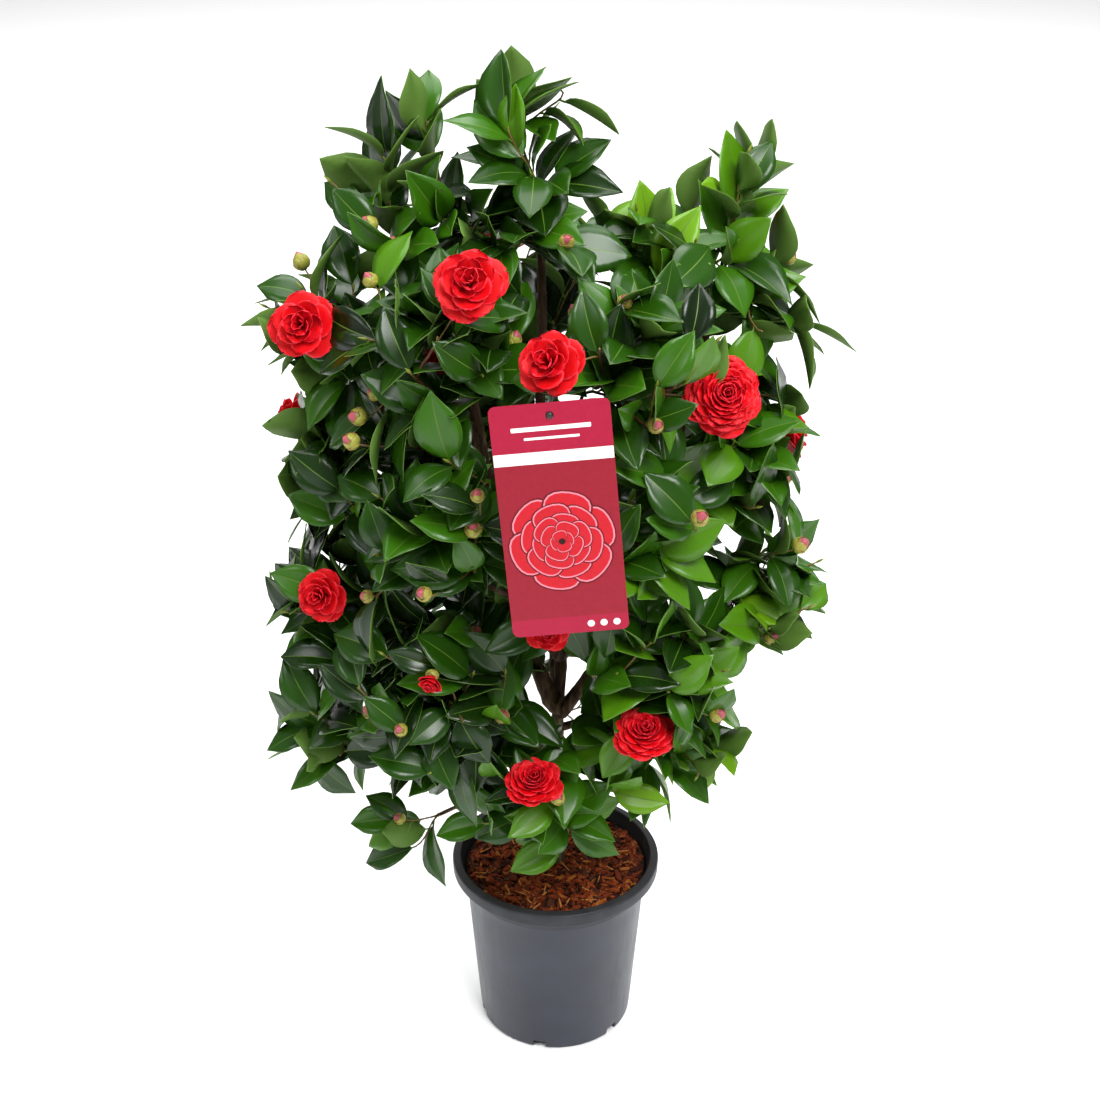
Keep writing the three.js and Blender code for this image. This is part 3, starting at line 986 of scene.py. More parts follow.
def build_limbs(axes):
    """The trunk and the boughs with their bark in relief, each bough running in to where it joins."""
    trunk_heap = Heap()
    add_limb(trunk_heap, *smooth_run(axes["trunk"], 4 * MM), 44)
    finish = bark("trunk_bark", "2c241a", "5f553c", "8b8160", 60)
    trunk = trunk_heap.build("trunk_bark", [finish], "stem_bark")
    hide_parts("trunk")
    bough_heap = Heap()
    for name, axis in axes.items():
        if name == "trunk":
            continue
        thick = axis[0][1]
        foot = nearest_on_limbs(axes, name, axis[0][0])
        places, radii = smooth_run([(foot, thick)] + axis, 6 * MM)
        add_limb(bough_heap, places, bough_radii(places, radii), 20 if thick > 5 * MM else 14)
    finish = bark("bough_bark", "241811", "4b3726", "77604a")
    boughs = bough_heap.build("bough_bark", [finish], "stem_bark")
    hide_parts(*[name for name in axes if name != "trunk"])


def twig_radius(knot):
    return min(knot.limit, TWIG_RADIUS * max(1, knot.load) ** PIPE)


def build_twigs(shoots, stalks):
    """Twigs, browner as they thicken, and the stalks of the blooms."""
    heap = Heap()
    for shoot in shoots:
        radii = [twig_radius(knot) for knot in shoot.knots]
        radii[0] = min(radii[0], radii[1] * 1.25)
        radii[-1] = radii[-2] * 0.92
        slots = [0 if r > 1.9 * MM else 1 if r > 1.25 * MM else 2 for r in radii[1:]]
        add_tube(heap, [knot.place for knot in shoot.knots], radii, 6, slots)
    for places, radii in stalks:
        add_tube(heap, places, radii, 8, [2] * (len(places) - 1))
    heap.build("twigs", plains("twigs"), "stem_bark")


# ---- leaves ----

ROWS = np.array([0, 0.035, 0.075, 0.14, 0.23, 0.33, 0.43, 0.53, 0.63, 0.73, 0.83, 0.92, 1.0])
TOP = np.array([-1, -0.52, -0.028, 0.028, 0.52, 1])
UNDER = np.array([1.0, 0, -1])
STALK = 0.075  # the share of a leaf that is its stalk
LEAF_RING = len(TOP) + len(UNDER)
LEAF_SKIN = skin(len(ROWS), LEAF_RING)


def blade_width(rows):
    """Half a leaf's width along it, 1 at its widest: a stalk, an oval blade and a drawn-out tip."""
    share = np.clip((rows - STALK) / (1 - STALK), 0, 1)
    oval = np.sin(np.pi * share ** 0.87) ** 0.73
    drawn = 1 - 0.42 * np.clip((share - 0.7) / 0.3, 0, 1)
    return oval * drawn


BLADE = blade_width(ROWS)


def leaf_form(rng, narrow):
    """One leaf's own size and bends."""
    return Record(
        half_width=LEAF_SHAPE * narrow * rng.uniform(0.9, 1.1),
        arch=rng.uniform(0.03, 0.12),
        fold=math.radians(rng.choice((rng.uniform(3, 16), rng.uniform(3, 16), rng.uniform(16, 34)))),
        sweep=rng.uniform(-0.07, 0.07),
        twist=math.radians(rng.uniform(-16, 16)),
        wave=rng.uniform(0.4, 1.5) * MM,
        phase=rng.uniform(0, 6.28),
        recurve=rng.uniform(0.0, 0.09),
    )


def leaf_points(base, tip, light, form):
    """The rings of a leaf from its foot to its tip, its upper face to the light."""
    chord = tip - base
    length = chord.length
    along = chord / length
    normal = light - along * light.dot(along)
    normal.normalize()
    side = along.cross(normal)
    along, normal, side = (np.array(v) for v in (along, normal, side))
    bulge = np.sin(np.pi * ROWS ** 0.85)
    middle = (np.array(base) + np.outer(ROWS * length, along)
              + np.outer(form.arch * length * bulge, normal)
              + np.outer(form.sweep * length * ROWS * (1 - ROWS) * 2, side))
    half = form.half_width * length * BLADE
    half = np.maximum(half, np.where(ROWS < 0.1, 0.85 * MM, 0.25 * MM))
    thick = np.where(ROWS < 0.08, 1.5 * MM, 0.55 * MM)
    on_blade = (ROWS > 0.1) & (ROWS < 0.95)
    veins = np.where(np.arange(len(ROWS)) % 2 == 0, 0.5 * MM, -0.5 * MM) * on_blade
    turn = form.twist * (ROWS - 0.4)
    points = np.empty((len(ROWS), LEAF_RING, 3))
    for column, share in enumerate(np.concatenate([TOP, UNDER])):
        reach = share * half
        level = abs(share) * half * math.sin(form.fold) - form.recurve * half * share * share
        ripple = np.sin(9 * ROWS + form.phase + 1.3 * share)
        level = level + form.wave * share * share * on_blade * ripple
        if 0.3 < abs(share) < 0.9:
            level = level + veins
        if column >= len(TOP):
            level = level - thick - (0.5 * MM if share == 0 else 0)
        elif abs(share) < 0.1:
            level = level - 0.25 * MM * on_blade
        reach = reach * math.cos(form.fold)
        offset_side = reach * np.cos(turn) - level * np.sin(turn)
        offset_up = reach * np.sin(turn) + level * np.cos(turn)
        points[:, column] = middle + np.outer(offset_side, side) + np.outer(offset_up, normal)
    return points


def add_leaf(heap, points, green):
    """Upper face in its green, midrib, margins and underside each in their own slot. The margins' paler
    green is partly the leaf's pale edge and partly a painted highlight on its curled edge.
    """
    quads, start, end = LEAF_SKIN
    blade = quads[2:]
    groups = [
        (quads[:2], 0, False),
        (blade[:, [0, 1, 3, 4]], green, False),
        (blade[:, 2], 0, False),
        # the edges in the paler margin green, partly a painted highlight
        (blade[:, [5, 8]], 1, True),
        (blade[:, [6, 7]], 2, False),
        (start, 0, True),
        (end, 1, True),
    ]
    heap.add(points, groups)


def leaf_fits(base, tip, overhang):
    """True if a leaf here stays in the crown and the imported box, and off the card and blooms."""
    grown = 4 * MM
    if any(not cad_low[k] - grown < tip[k] < cad_high[k] + grown for k in range(3)):
        return False
    spots = [tip, base.lerp(tip, 0.75), base.lerp(tip, 0.5), base.lerp(tip, 0.25)]
    if not all(clear(spot) for spot in spots):
        return False
    return crown_depth(tip) > -overhang


def depth_down(place):
    """The share of the plant's height that lies above a place."""
    return 1 - (place.z - cad_low.z) / (cad_high.z - cad_low.z)


def spray_green_with_painted_shade(place, rng):
    """The green of a spray, darker towards the left: the deep greens half way up on the left are
    painted shade, and the freshest, low on the right, are young leaves.
    """
    right = (place.x - cad_low.x) / (cad_high.x - cad_low.x)
    height = (place.z - cad_low.z) / (cad_high.z - cad_low.z)
    # darker towards the left and deepest half way up: painted shade; the extra freshness low on the
    # right is young growth
    fresh = 0.9 + 2.3 * right + 5.0 * max(0.0, right - 0.4) * max(0.0, 0.65 - height)
    fresh += 0.7 * abs(height - 0.62) / 0.38
    return int(max(0, min(GREENS - 1, round(rng.gauss(fresh, 0.65)))))


def leaf_way(heading, radial, spread, droop, place):
    way = heading * math.cos(spread) + radial * math.sin(spread) + outward(place) * 0.22 - UP * droop
    return way.normalized()


def leaf_angles(order, kind, low_down, rng):
    """How far a leaf leans from its stem, and how much it hangs."""
    spread = math.radians(LEAF_SPREADS[order] + rng.uniform(-10, 10))
    if kind != "leafy":
        spread = max(spread, math.radians(48))
    droop = rng.uniform(-0.1, 0.25) + 0.35 * low_down
    if low_down < 1 - UPRIGHT:
        spread *= 0.68
        droop -= 0.12
    return spread, droop


def leaf_length(place, order, rng):
    """Shorter at the shoot's tip, and a little shorter low down on the plant."""
    length = LEAF_LENGTH * rng.uniform(0.86, 1.12)
    if order == 0:
        length *= 0.88
    return length * (1 - 0.08 * depth_down(place))


def leaf_light(foot, heading, way, rng):
    """The way a leaf's upper face turns: up, outward and along its stem, but never along the leaf."""
    light = UP * 0.55 + outward(foot) * 0.45 + heading * 0.5
    light = light + Vector([rng.uniform(-0.35, 0.35) for _ in range(3)])
    if abs(light.normalized().dot(way)) > 0.93:
        light = light + outward(foot) * 0.8
    return light


def own_overhang(shoot):
    """How far a shoot's leaf tips may stand out of the crown."""
    if shoot.aim.knot:
        return SPRIG_OVERHANG
    if masses[shoot.aim.mass].thin:
        return THIN_OVERHANG
    return SPUR_OVERHANG if shoot.aim.spur else OVERHANG


def leaves_of(shoot, space, heap, rng):
    """Lays a shoot's leaves up its stem by the golden turn, where there is room, and counts them."""
    aim = shoot.aim
    green = spray_green_with_painted_shade(shoot.tip(), rng)
    turn = rng.uniform(0, math.tau)
    low_down = depth_down(shoot.tip())
    first = LEAFLESS[aim.kind] * MM
    count = 0
    for order, step in enumerate(LEAF_STEPS):
        found = shoot.back_from_tip(first + step * MM * rng.uniform(0.85, 1.15))
        if found is None:
            break
        foot, heading = found
        across = heading.orthogonal().normalized()
        aside = heading.cross(across)
        spread, droop = leaf_angles(order, aim.kind, low_down, rng)
        length = leaf_length(foot, order, rng)
        for attempt in range(TRIES):
            angle = turn + order * GOLDEN + attempt * 0.95 * (-1) ** attempt
            radial = across * math.cos(angle) + aside * math.sin(angle)
            lean = spread + (rng.uniform(-0.3, 0.3) if attempt else 0.0)
            way = leaf_way(heading, radial, lean, droop, foot)
            tip = foot + way * length * (1 - 0.02 * attempt)
            if order == 0 and aim.spur and attempt == 0:
                tip = aim.spur - (aim.spur - foot).normalized() * 1 * MM
                way = (tip - foot).normalized()
            spots = [foot.lerp(tip, 0.45), foot.lerp(tip, 0.72)]
            if not leaf_fits(foot, tip, own_overhang(shoot)):
                continue
            if any(space.crowded(spot, LEAF_GAP) for spot in spots):
                continue
            light = leaf_light(foot, heading, way, rng)
            form = leaf_form(rng, 1.0 - 0.08 * low_down)
            shade = green + rng.choice((-1, 0, 0, 0, 1))
            shade = FIRST_GREEN + max(0, min(GREENS - 1, shade))
            add_leaf(heap, leaf_points(foot, tip, light, form), shade)
            for spot in spots:
                space.take(spot)
            count += 1
            break
    return count


def drop_bare(shoots):
    """The shoots without those that bear nothing and from which none grows."""
    for _ in range(3):
        feet = {id(shoot.knots[0]) for shoot in shoots}
        shoots = [shoot for shoot in shoots if shoot.aim.kind != "leafy" or shoot.leaves
                  or any(id(knot) in feet for knot in shoot.knots[1:])]
    return shoots


def build_leaves(shoots, rng):
    """One piece of joined leaves for each mass, which it replaces."""
    space = Spacing(LEAF_GAP)
    heaps = {name: Heap() for name in masses}
    for shoot in sorted(shoots, key=lambda shoot: shoot.aim.spur is None):
        shoot.leaves = leaves_of(shoot, space, heaps[shoot.aim.mass], rng)
    finishes = plains("leaves")
    for name, heap in heaps.items():
        piece = heap.build(name + "_leaves", finishes, "foliage")
        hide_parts(name)


# ---- blooms and buds ----

PETAL_ROWS = np.array([0, 0.2, 0.4, 0.58, 0.74, 0.87, 0.96, 1.0])
PETAL_TOP = np.array([1, 0.84, 0.42, 0, -0.42, -0.84, -1])
PETAL_UNDER = np.array([-1.0, 0, 1])
PETAL_RING = len(PETAL_TOP) + len(PETAL_UNDER)
PETAL_SKIN = skin(len(PETAL_ROWS), PETAL_RING)
PETAL_STEPS = np.diff(PETAL_ROWS, prepend=0)
PETAL_THICK = 0.5 * MM


class Axes:
    """A bloom's or bud's foot and its own directions: the way it faces and two across it."""

    def __init__(self, foot, way):
        self.foot = np.array(foot)
        self.way = np.array(way)
        self.across = np.array(way.orthogonal().normalized())
        self.aside = np.cross(self.way, self.across)

    def points(self, out, angle, rise):
        """Points this far out from the axis, at this angle round it and this far up it."""
        return (self.foot + (out * np.cos(angle))[:, None] * self.across
                + (out * np.sin(angle))[:, None] * self.aside + rise[:, None] * self.way)


def petal_points(axes, turn, length, tilts, start, wide, cup, wave, narrowest):
    """A petal's rings. Off the axis it leans from tilts[0] at its foot to tilts[1] at its tip."""
    lean = tilts[0] + (tilts[1] - tilts[0]) * PETAL_ROWS ** 1.15
    radial = start[0] + np.cumsum(np.sin(lean) * PETAL_STEPS) * length
    height = start[1] + np.cumsum(np.cos(lean) * PETAL_STEPS) * length
    shape = PETAL_ROWS ** 0.5 * np.sqrt(np.clip(1 - PETAL_ROWS ** 5.5, 0, 1)) / 0.82
    half = wide * length * np.maximum(shape, 0.1)
    spread = np.minimum(half / np.maximum(radial, narrowest), 1.3)
    points = np.empty((len(PETAL_ROWS), PETAL_RING, 3))
    for column, share in enumerate(np.concatenate([PETAL_TOP, PETAL_UNDER])):
        angle = turn + share * spread
        notch = 1 - 0.07 * math.exp(-(share / 0.3) ** 2) * PETAL_ROWS ** 4
        out = radial * notch + cup * half * share * share * np.cos(lean)
        rise = height * notch + cup * half * share * share * np.sin(lean)
        ripple = wave * PETAL_ROWS ** 2 * math.sin(5 * share + 7 * turn)
        out = out - ripple * np.cos(lean)
        rise = rise + ripple * np.sin(lean)
        if column >= len(PETAL_TOP):
            out = out + PETAL_THICK * np.cos(lean)
            rise = rise - PETAL_THICK * np.sin(lean)
        out = np.maximum(out, 0.2 * MM)
        points[:, column] = axes.points(out, angle, rise)
    return points


# The petal slots: the darker red is painted shade, and the rim red is a painted highlight.
PETAL_SHADE, RED, BRIGHT, RIM_HIGHLIGHT, BACK = range(5)


def add_petal(heap, points, face):
    """The petal's face, its foot in a darker red that is painted shade, its rim in a paler red that is
    a painted highlight, and its underside.
    """
    quads, start, end = PETAL_SKIN
    sides = quads[2:-1]
    heap.add(points, [
        # the foot in the darker red: painted shade where the petals overlap
        (quads[:1, :6], PETAL_SHADE, False),
        (quads[1, :6], face, False),
        (sides[:, 1:5], face, False),
        # the edges and tip in the paler rim red: a painted highlight
        (sides[:, [0, 5]], RIM_HIGHLIGHT, False),
        (quads[-1:, :6], RIM_HIGHLIGHT, False),
        (quads[:, [6, 9]], RIM_HIGHLIGHT, True),
        (quads[:, [7, 8]], BACK, False),
        (start, PETAL_SHADE, True),
        (end, RIM_HIGHLIGHT, True),
    ])


FORMAL = 38  # a bloom with more petals than this is of the formal, tiled kind


def add_bloom(heap, bloom, rng):
    """Petals from the outermost in, each a golden turn on and more upright than the last."""
    axes = Axes(bloom.base, bloom.way)
    radius = bloom.radius
    start_turn = rng.uniform(0, math.tau)
    formal = bloom.petals > FORMAL
    for i in range(bloom.petals):
        inward = i / (bloom.petals - 1)
        opened = bloom.opened * (1 - inward) ** 0.62
        length = radius * (1.06 - 0.5 * inward) * rng.uniform(0.95, 1.05)
        if not formal:
            opened = bloom.opened * (1.02 - 0.86 * inward ** 1.3)
            length = radius * (1.03 - 0.36 * inward ** 1.4) * rng.uniform(0.95, 1.05)
        tilts = (math.radians(14 + 58 * opened), math.radians(-16 + 112 * opened + rng.uniform(-6, 6)))
        start = (radius * (0.02 + 0.07 * (1 - inward)), radius * 0.30 * inward)
        wide = 0.5 + 0.04 * inward if formal else 0.7
        cup = -0.16 + 0.10 * inward if formal else -0.2
        wave = radius * 0.03 * rng.uniform(0.2, 1.0)
        turn = start_turn + i * GOLDEN + rng.uniform(-0.12, 0.12)
        points = petal_points(axes, turn, length, tilts, start, wide, cup, wave, radius * 0.2)
        face = BRIGHT if rng.random() < 0.35 else RED
        # some inner petals take the darker red: painted shade deep in the bloom's heart
        if inward > 0.75 and rng.random() < 0.5:
            face = PETAL_SHADE
        add_petal(heap, points, face)


def bud_profile(share):
    """The radius of a bud at this share of its height, 1 at its fattest."""
    return np.sin(np.pi * np.clip(share, 0, 1) ** 0.8) ** 0.72


def add_bud(heap, foot, way, height, fat, rng):
    """An egg of folded petals in overlapping scales."""
    axes = Axes(foot, way)
    rows = np.linspace(0.02, 0.995, 8)
    sides = 10
    out = fat * bud_profile(rows) * 0.94
    rings = [axes.points(out, math.tau * j / sides, rows * height) for j in range(sides)]
    quads, start, end = skin(len(rows), sides)
    heap.add(np.stack(rings, 1), [
        (quads[:5], 1, False),
        (quads[5:], 2, False),
        (start, 1, True),
        (end, 2, True),
    ])
    turn = rng.uniform(0, math.tau)
    for i in range(SCALES):
        low = 0.02 + 0.05 * i
        high = 0.5 + 0.4 * i / (SCALES - 1)
        lift = 0.25 * MM * (SCALES - i) / 2
        add_scale(heap, axes, turn + i * GOLDEN, (low, high), height, fat, lift)


SCALES = 7  # on each bud
SCALE_ROWS = np.array([0, 0.3, 0.58, 0.8, 0.94, 1.0])
SCALE_TOP = np.array([1, 0.5, 0, -0.5, -1])
SCALE_RING = len(SCALE_TOP) + 3
SCALE_SKIN = skin(len(SCALE_ROWS), SCALE_RING)


def add_scale(heap, axes, turn, ends, height, fat, lift):
    """One scale lying on the bud between two shares of its height."""
    share = ends[0] + (ends[1] - ends[0]) * SCALE_ROWS
    half = 1.15 * np.sqrt(np.clip(1 - SCALE_ROWS ** 2.4, 0.002, 1))
    points = np.empty((len(SCALE_ROWS), SCALE_RING, 3))
    columns = np.concatenate([SCALE_TOP[::-1], [1, 0, -1]])
    for column, side in enumerate(columns):
        over = lift + 0.45 * MM if column < len(SCALE_TOP) else lift - 0.1 * MM
        out = fat * bud_profile(share) + over
        angle = turn + side * half
        points[:, column] = axes.points(out, angle, share * height)
    quads, start, end = SCALE_SKIN
    body = quads[:, :4]
    heap.add(points, [
        (body[:4], 0, False),
        (body[4:], 3, False),
        (quads[:, [4, 7]], 3, True),
        (quads[:, [5, 6]], 1, False),
        (start, 1, True),
        (end, 3, True),
    ])


def add_leaf_bud(heap, foot, way):
    """The slim pointed bud at the end of a leafy shoot."""
    stops = ((-1, 1.1), (1.5, 1.7), (4, 1.6), (7, 0.9), (10, 0.2))
    places = [foot + way * step * MM for step, _ in stops]
    add_tube(heap, places, [radius * MM for _, radius in stops], 6, [1] * 4)


def build_flowers(shoots, rng):
    """Blooms with a calyx under each, and the buds at the shoots that end in one."""
    petals = Heap()
    green = Heap()
    stalks = []
    for shoot in shoots:
        if shoot.aim.kind == "bloom":
            bloom = shoot.aim.bloom
            add_bloom(petals, bloom, rng)
            foot = bloom.base - bloom.way * 6 * MM
            add_bud(green, foot, bloom.way, 13 * MM, 6.5 * MM, rng)
            stalks.append(([shoot.tip(), bloom.base - bloom.way * 2 * MM], [1.6 * MM, 2.4 * MM]))
        elif shoot.aim.kind == "bud":
            size = rng.uniform(0.8, 1.15)
            way = (shoot.heading() + UP * 0.3).normalized()
            add_bud(green, shoot.tip() - way * 1 * MM, way, 20 * MM * size, 7.8 * MM * size, rng)
        elif rng.random() < 0.7:
            add_leaf_bud(green, shoot.tip(), shoot.heading())
    petals.build("blooms", plains("petals"), "petals")
    green.build("buds", plains("buds"), "buds")
    return stalks


# ---- the pot and its chips ----


def turned(outline, steps):
    """A closed solid swept round Z from an outline of (radius, height), from the axis to the axis."""
    rings = []
    for radius, height in outline[1:-1]:
        angles = np.arange(steps) * math.tau / steps
        level = np.full(steps, height)
        rings.append(np.stack([radius * np.cos(angles), radius * np.sin(angles), level], 1))
    quads = skin(len(rings), steps)[0]
    points = np.concatenate(rings + [[[0, 0, outline[0][1]]], [[0, 0, outline[-1][1]]]])
    foot = len(rings) * steps
    first = np.arange(steps)
    after = (first + 1) % steps
    bottom = np.stack([np.full(steps, foot), after, first], 1)
    last = (len(rings) - 1) * steps
    top = np.stack([np.full(steps, foot + 1), last + first, last + after], 1)
    return points, [(quads, 0, False), (bottom, 0, False), (top, 0, False)]


def arc(centre, radius, start, end, steps):
    made = []
    for i in range(steps + 1):
        angle = math.radians(start + (end - start) * i / steps)
        made.append((centre[0] + radius * math.cos(angle), centre[1] + radius * math.sin(angle)))
    return made


def cut(piece, cutters):
    """Cuts solids out of a piece and removes them."""
    for cutter in cutters:
        modifier = piece.modifiers.new("cut", "BOOLEAN")
        modifier.operation = "DIFFERENCE"
        modifier.object = cutter
    bpy.context.view_layer.update()
    shaped = piece.evaluated_get(bpy.context.evaluated_depsgraph_get())
    mesh = bpy.data.meshes.new_from_object(shaped)
    piece.modifiers.clear()
    piece.data = mesh
    for cutter in cutters:
        bpy.data.objects.remove(cutter)


def block(size, place, turn):
    """A cutter: a box turned round Z."""
    mesh = bpy.data.meshes.new("cutter")
    x, y, z = (side / 2 for side in size)
    corners = [(i * x, j * y, k * z) for i in (-1, 1) for j in (-1, 1) for k in (-1, 1)]
    faces = [(0, 1, 3, 2), (4, 6, 7, 5), (0, 4, 5, 1), (2, 3, 7, 6), (0, 2, 6, 4), (1, 5, 7, 3)]
    mesh.from_pydata(corners, [], faces)
    cutter = placed("cutter", mesh)
    cutter.location = place
    cutter.rotation_euler = (0, 0, turn)
    return cutter


LIP_HEIGHT = 19 * MM
FOOT_INSET = 33.5 * MM  # from the lip's edge in to the foot's
WALL = 2.6 * MM
NOTCHES = 6


def pot_outline(lip, height):
    """The pot's section, from the axis under its floor, round the lip, to the axis above its floor."""
    neck = lip - 16 * MM
    foot = lip - FOOT_INSET
    under_lip = height - LIP_HEIGHT
    line = height - 36 * MM

    def outer(z):
        return foot + (neck - foot) * z / under_lip

    outline = [(0, 0)]
    outline += [(foot - 30 * MM, 0), (foot - 8 * MM, 0)]
    outline += arc((foot - 4 * MM, 4 * MM), 4 * MM, -90, 0, 6)
    outline += [(outer(z), z) for z in np.linspace(12 * MM, line - 3 * MM, 14)]
    outline += [(outer(line) + 0.2 * MM, line - 0.8 * MM)]
    outline += [(outer(line) + 1.3 * MM, line), (outer(line) + 1.5 * MM, line + 1.2 * MM)]
    outline += [(outer(line) + 1.1 * MM, line + 2.4 * MM)]
    outline += [(neck + 1.0 * MM, under_lip - 3 * MM)]
    outline += arc((neck + 4.2 * MM, under_lip - 2.5 * MM), 3 * MM, 180, 90, 4)
    outline += [(lip - 4 * MM, under_lip + 0.4 * MM)]
    outline += arc((lip - 3 * MM, under_lip + 3 * MM), 2.6 * MM, -90, 0, 4)
    outline += arc((lip - 3.5 * MM, height - 4.3 * MM), 3.5 * MM, 5, 80, 8)
    outline += arc((lip - 9 * MM, height - 2 * MM), 2 * MM, 95, 180, 4)
    outline += [(neck + 0.5 * MM, under_lip - 3 * MM)]
    outline += [(outer(z) - WALL, z) for z in np.linspace(under_lip - 8 * MM, 9 * MM, 10)]
    outline += [(foot - 8 * MM, 4 * MM), (foot - 30 * MM, 4 * MM), (0, 4 * MM)]
    return outline


def deal_pot_slots(piece, under_lip):
    """Slot 1 for the lip's top and the inner wall, 2 for the lip's side, 0 for the rest."""
    for face in piece.data.polygons:
        outward_share = face.normal.xy.dot(face.center.xy.normalized())
        if face.center.z > 60 * MM and (outward_share < -0.5 or face.normal.z > 0.8):
            face.material_index = 1
        elif face.center.z > under_lip - 4 * MM:
            face.material_index = 2


def build_pot():
    """The pot: rolled lip, moulded line round the neck, thin wall, floor and drainage notches."""
    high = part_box("pot")[1]
    heap = Heap()
    heap.add(*turned(pot_outline(high.x, high.z), 180))
    inner = pot_plastic_darker("pot_plastic_inner", 0.62, "1d1d20", "2a2a2c")
    side = pot_plastic_darker("pot_plastic_lip", 0.5, "212227", "303137")
    piece = heap.build("pot_body", [pot_plastic(), inner, side], "pot_plastic")
    deal_pot_slots(piece, high.z - LIP_HEIGHT)
    cutters = []
    for i in range(NOTCHES):
        turn = math.radians(-102 + 360 / NOTCHES * i)
        place = Vector((math.cos(turn), math.sin(turn), 0)) * (high.x - FOOT_INSET - 2 * MM)
        cutters.append(block((26 * MM, 17 * MM, 22 * MM), place, turn))
    cut(piece, cutters)
    piece.data.set_sharp_from_angle(angle=math.radians(32))
    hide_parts("pot")


CHIPS = 2300
SPLINTERS = 38  # one chip in so many is a pale splinter


def chip(rng, size):
    """An uneven six-cornered flake: its points and faces."""
    long, wide, thick = size
    points = []
    for level in (-0.5, 0.5):
        for i in range(6):
            angle = math.pi * (i + 0.5) / 3
            reach = rng.uniform(0.72, 1.1)
            tilt = rng.uniform(-0.25, 0.25)
            points.append((long / 2 * math.cos(angle) * reach, wide / 2 * math.sin(angle) * reach,
                           thick * (level + tilt)))
    quads = [(i, (i + 1) % 6, 6 + (i + 1) % 6, 6 + i) for i in range(6)]
    return np.array(points), [quads, [(5, 4, 3, 2, 1, 0)], [(6, 7, 8, 9, 10, 11)]]


def turned_by(points, yaw, tilt, roll):
    """Points turned about Z after a tilt and a roll."""
    cy, sy, ct, st, cr, sr = (f(a) for a in (yaw, tilt, roll) for f in (math.cos, math.sin))
    about_x = np.array([[1, 0, 0], [0, cr, -sr], [0, sr, cr]])
    about_y = np.array([[ct, 0, st], [0, 1, 0], [-st, 0, ct]])
    about_z = np.array([[cy, -sy, 0], [sy, cy, 0], [0, 0, 1]])
    return points @ (about_z @ about_y @ about_x).T


def add_chip(chips, brim, top, splinter, rng):
    """One loose chip, or a long pale splinter on top of the others, somewhere on the bed."""
    reach = math.sqrt(rng.random()) * (brim - 3 * MM)
    around = rng.uniform(0, math.tau)
    if splinter:
        size = (rng.uniform(16, 30) * MM, rng.uniform(1.4, 2.6) * MM, rng.uniform(0.8, 1.5) * MM)
        reach = min(reach, brim - 18 * MM)
    else:
        long = rng.uniform(7, 19) * MM * (0.8 if rng.random() < 0.5 else 1.1)
        size = (long, long * rng.uniform(0.2, 0.5), rng.uniform(1.2, 3.2) * MM)
        reach = min(reach, brim - long / 2)
    points, faces = chip(rng, size)
    points = turned_by(points, rng.uniform(0, 6.28), rng.gauss(0, 0.3), rng.gauss(0, 0.35))
    layer = rng.uniform(-1.5, 3.2) * MM if not splinter else 3.4 * MM
    if reach < 17 * MM and not splinter:
        layer = min(layer, 1.0 * MM)
    height = top - 2 * MM - 3 * MM * (reach / brim) ** 2 + layer
    middle = (reach * math.cos(around), reach * math.sin(around), height)
    slot = 5 if splinter else rng.choice((0, 0, 1, 1, 1, 2, 2, 3, 4))
    chips.add(points + np.array(middle), [(face, slot, True) for face in faces])


def build_soil(rng):
    """A bed of compost under loose bark chips and a few pale splinters."""
    low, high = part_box("soil")
    brim = high.x
    top = high.z
    outline = [(0, low.z), (brim * 0.72, low.z), (brim * 0.83, low.z + 14 * MM)]
    outline += [(brim - 1.5 * MM, top - 14 * MM), (brim - 0.5 * MM, top - 5 * MM)]
    outline += [(brim * s, top - 2 * MM - 3 * MM * s * s) for s in (0.97, 0.8, 0.6, 0.4, 0.2)]
    outline += [(0, top - 2 * MM)]
    heap = Heap()
    heap.add(*turned(outline, 72))
    bed = heap.build("compost", [compost()], "bark_chips")
    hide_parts("soil")
    chips = Heap()
    for i in range(CHIPS):
        add_chip(chips, brim, top, i % SPLINTERS == 0, rng)
    chips.build("bark_chips", plains("chips"), "bark_chips")


# ---- the card ----


def rounded(width, height, corner, steps=6):
    """The outline of a rounded oblong round the origin."""
    made = []
    for turn, x, y in ((0, 1, 1), (90, -1, 1), (180, -1, -1), (270, 1, -1)):
        centre = (x * (width / 2 - corner), y * (height / 2 - corner))
        made += arc(centre, corner, turn, turn + 90, steps)
    return made


def add_print(heap, outline, low, high, slot, shift=(0, 0)):
    """A flat shape on the card, from low to high metres before its middle plane."""
    count = len(outline)
    back = [card.place(x + shift[0], y + shift[1], low) for x, y in outline]
    front = [card.place(x + shift[0], y + shift[1], high) for x, y in outline]
    here = np.arange(count)
    beside = (here + 1) % count
    sides = np.stack([here, beside, count + beside, count + here], 1)
    groups = [
        (sides, slot, True),
        (here[::-1][None, :], slot, True),
        ((count + here)[None, :], slot, True),
    ]
    heap.add(np.array([list(p) for p in back + front]), groups)


def petal_print(width, distance, turn):
    """A rounded petal's outline, its middle this far from the origin, for the card's plain flower."""
    made = []
    for i in range(20):
        angle = math.tau * i / 20
        x = distance + 0.42 * width * math.cos(angle) * (1 - 0.06 * math.cos(2 * angle))
        y = 0.5 * width * math.sin(angle) * (1 + 0.12 * math.cos(angle))
        made.append((x * math.cos(turn) - y * math.sin(turn), x * math.sin(turn) + y * math.cos(turn)))
    return made


def disc(radius):
    return arc((0, 0), radius, 0, 360, 28)[:-1]


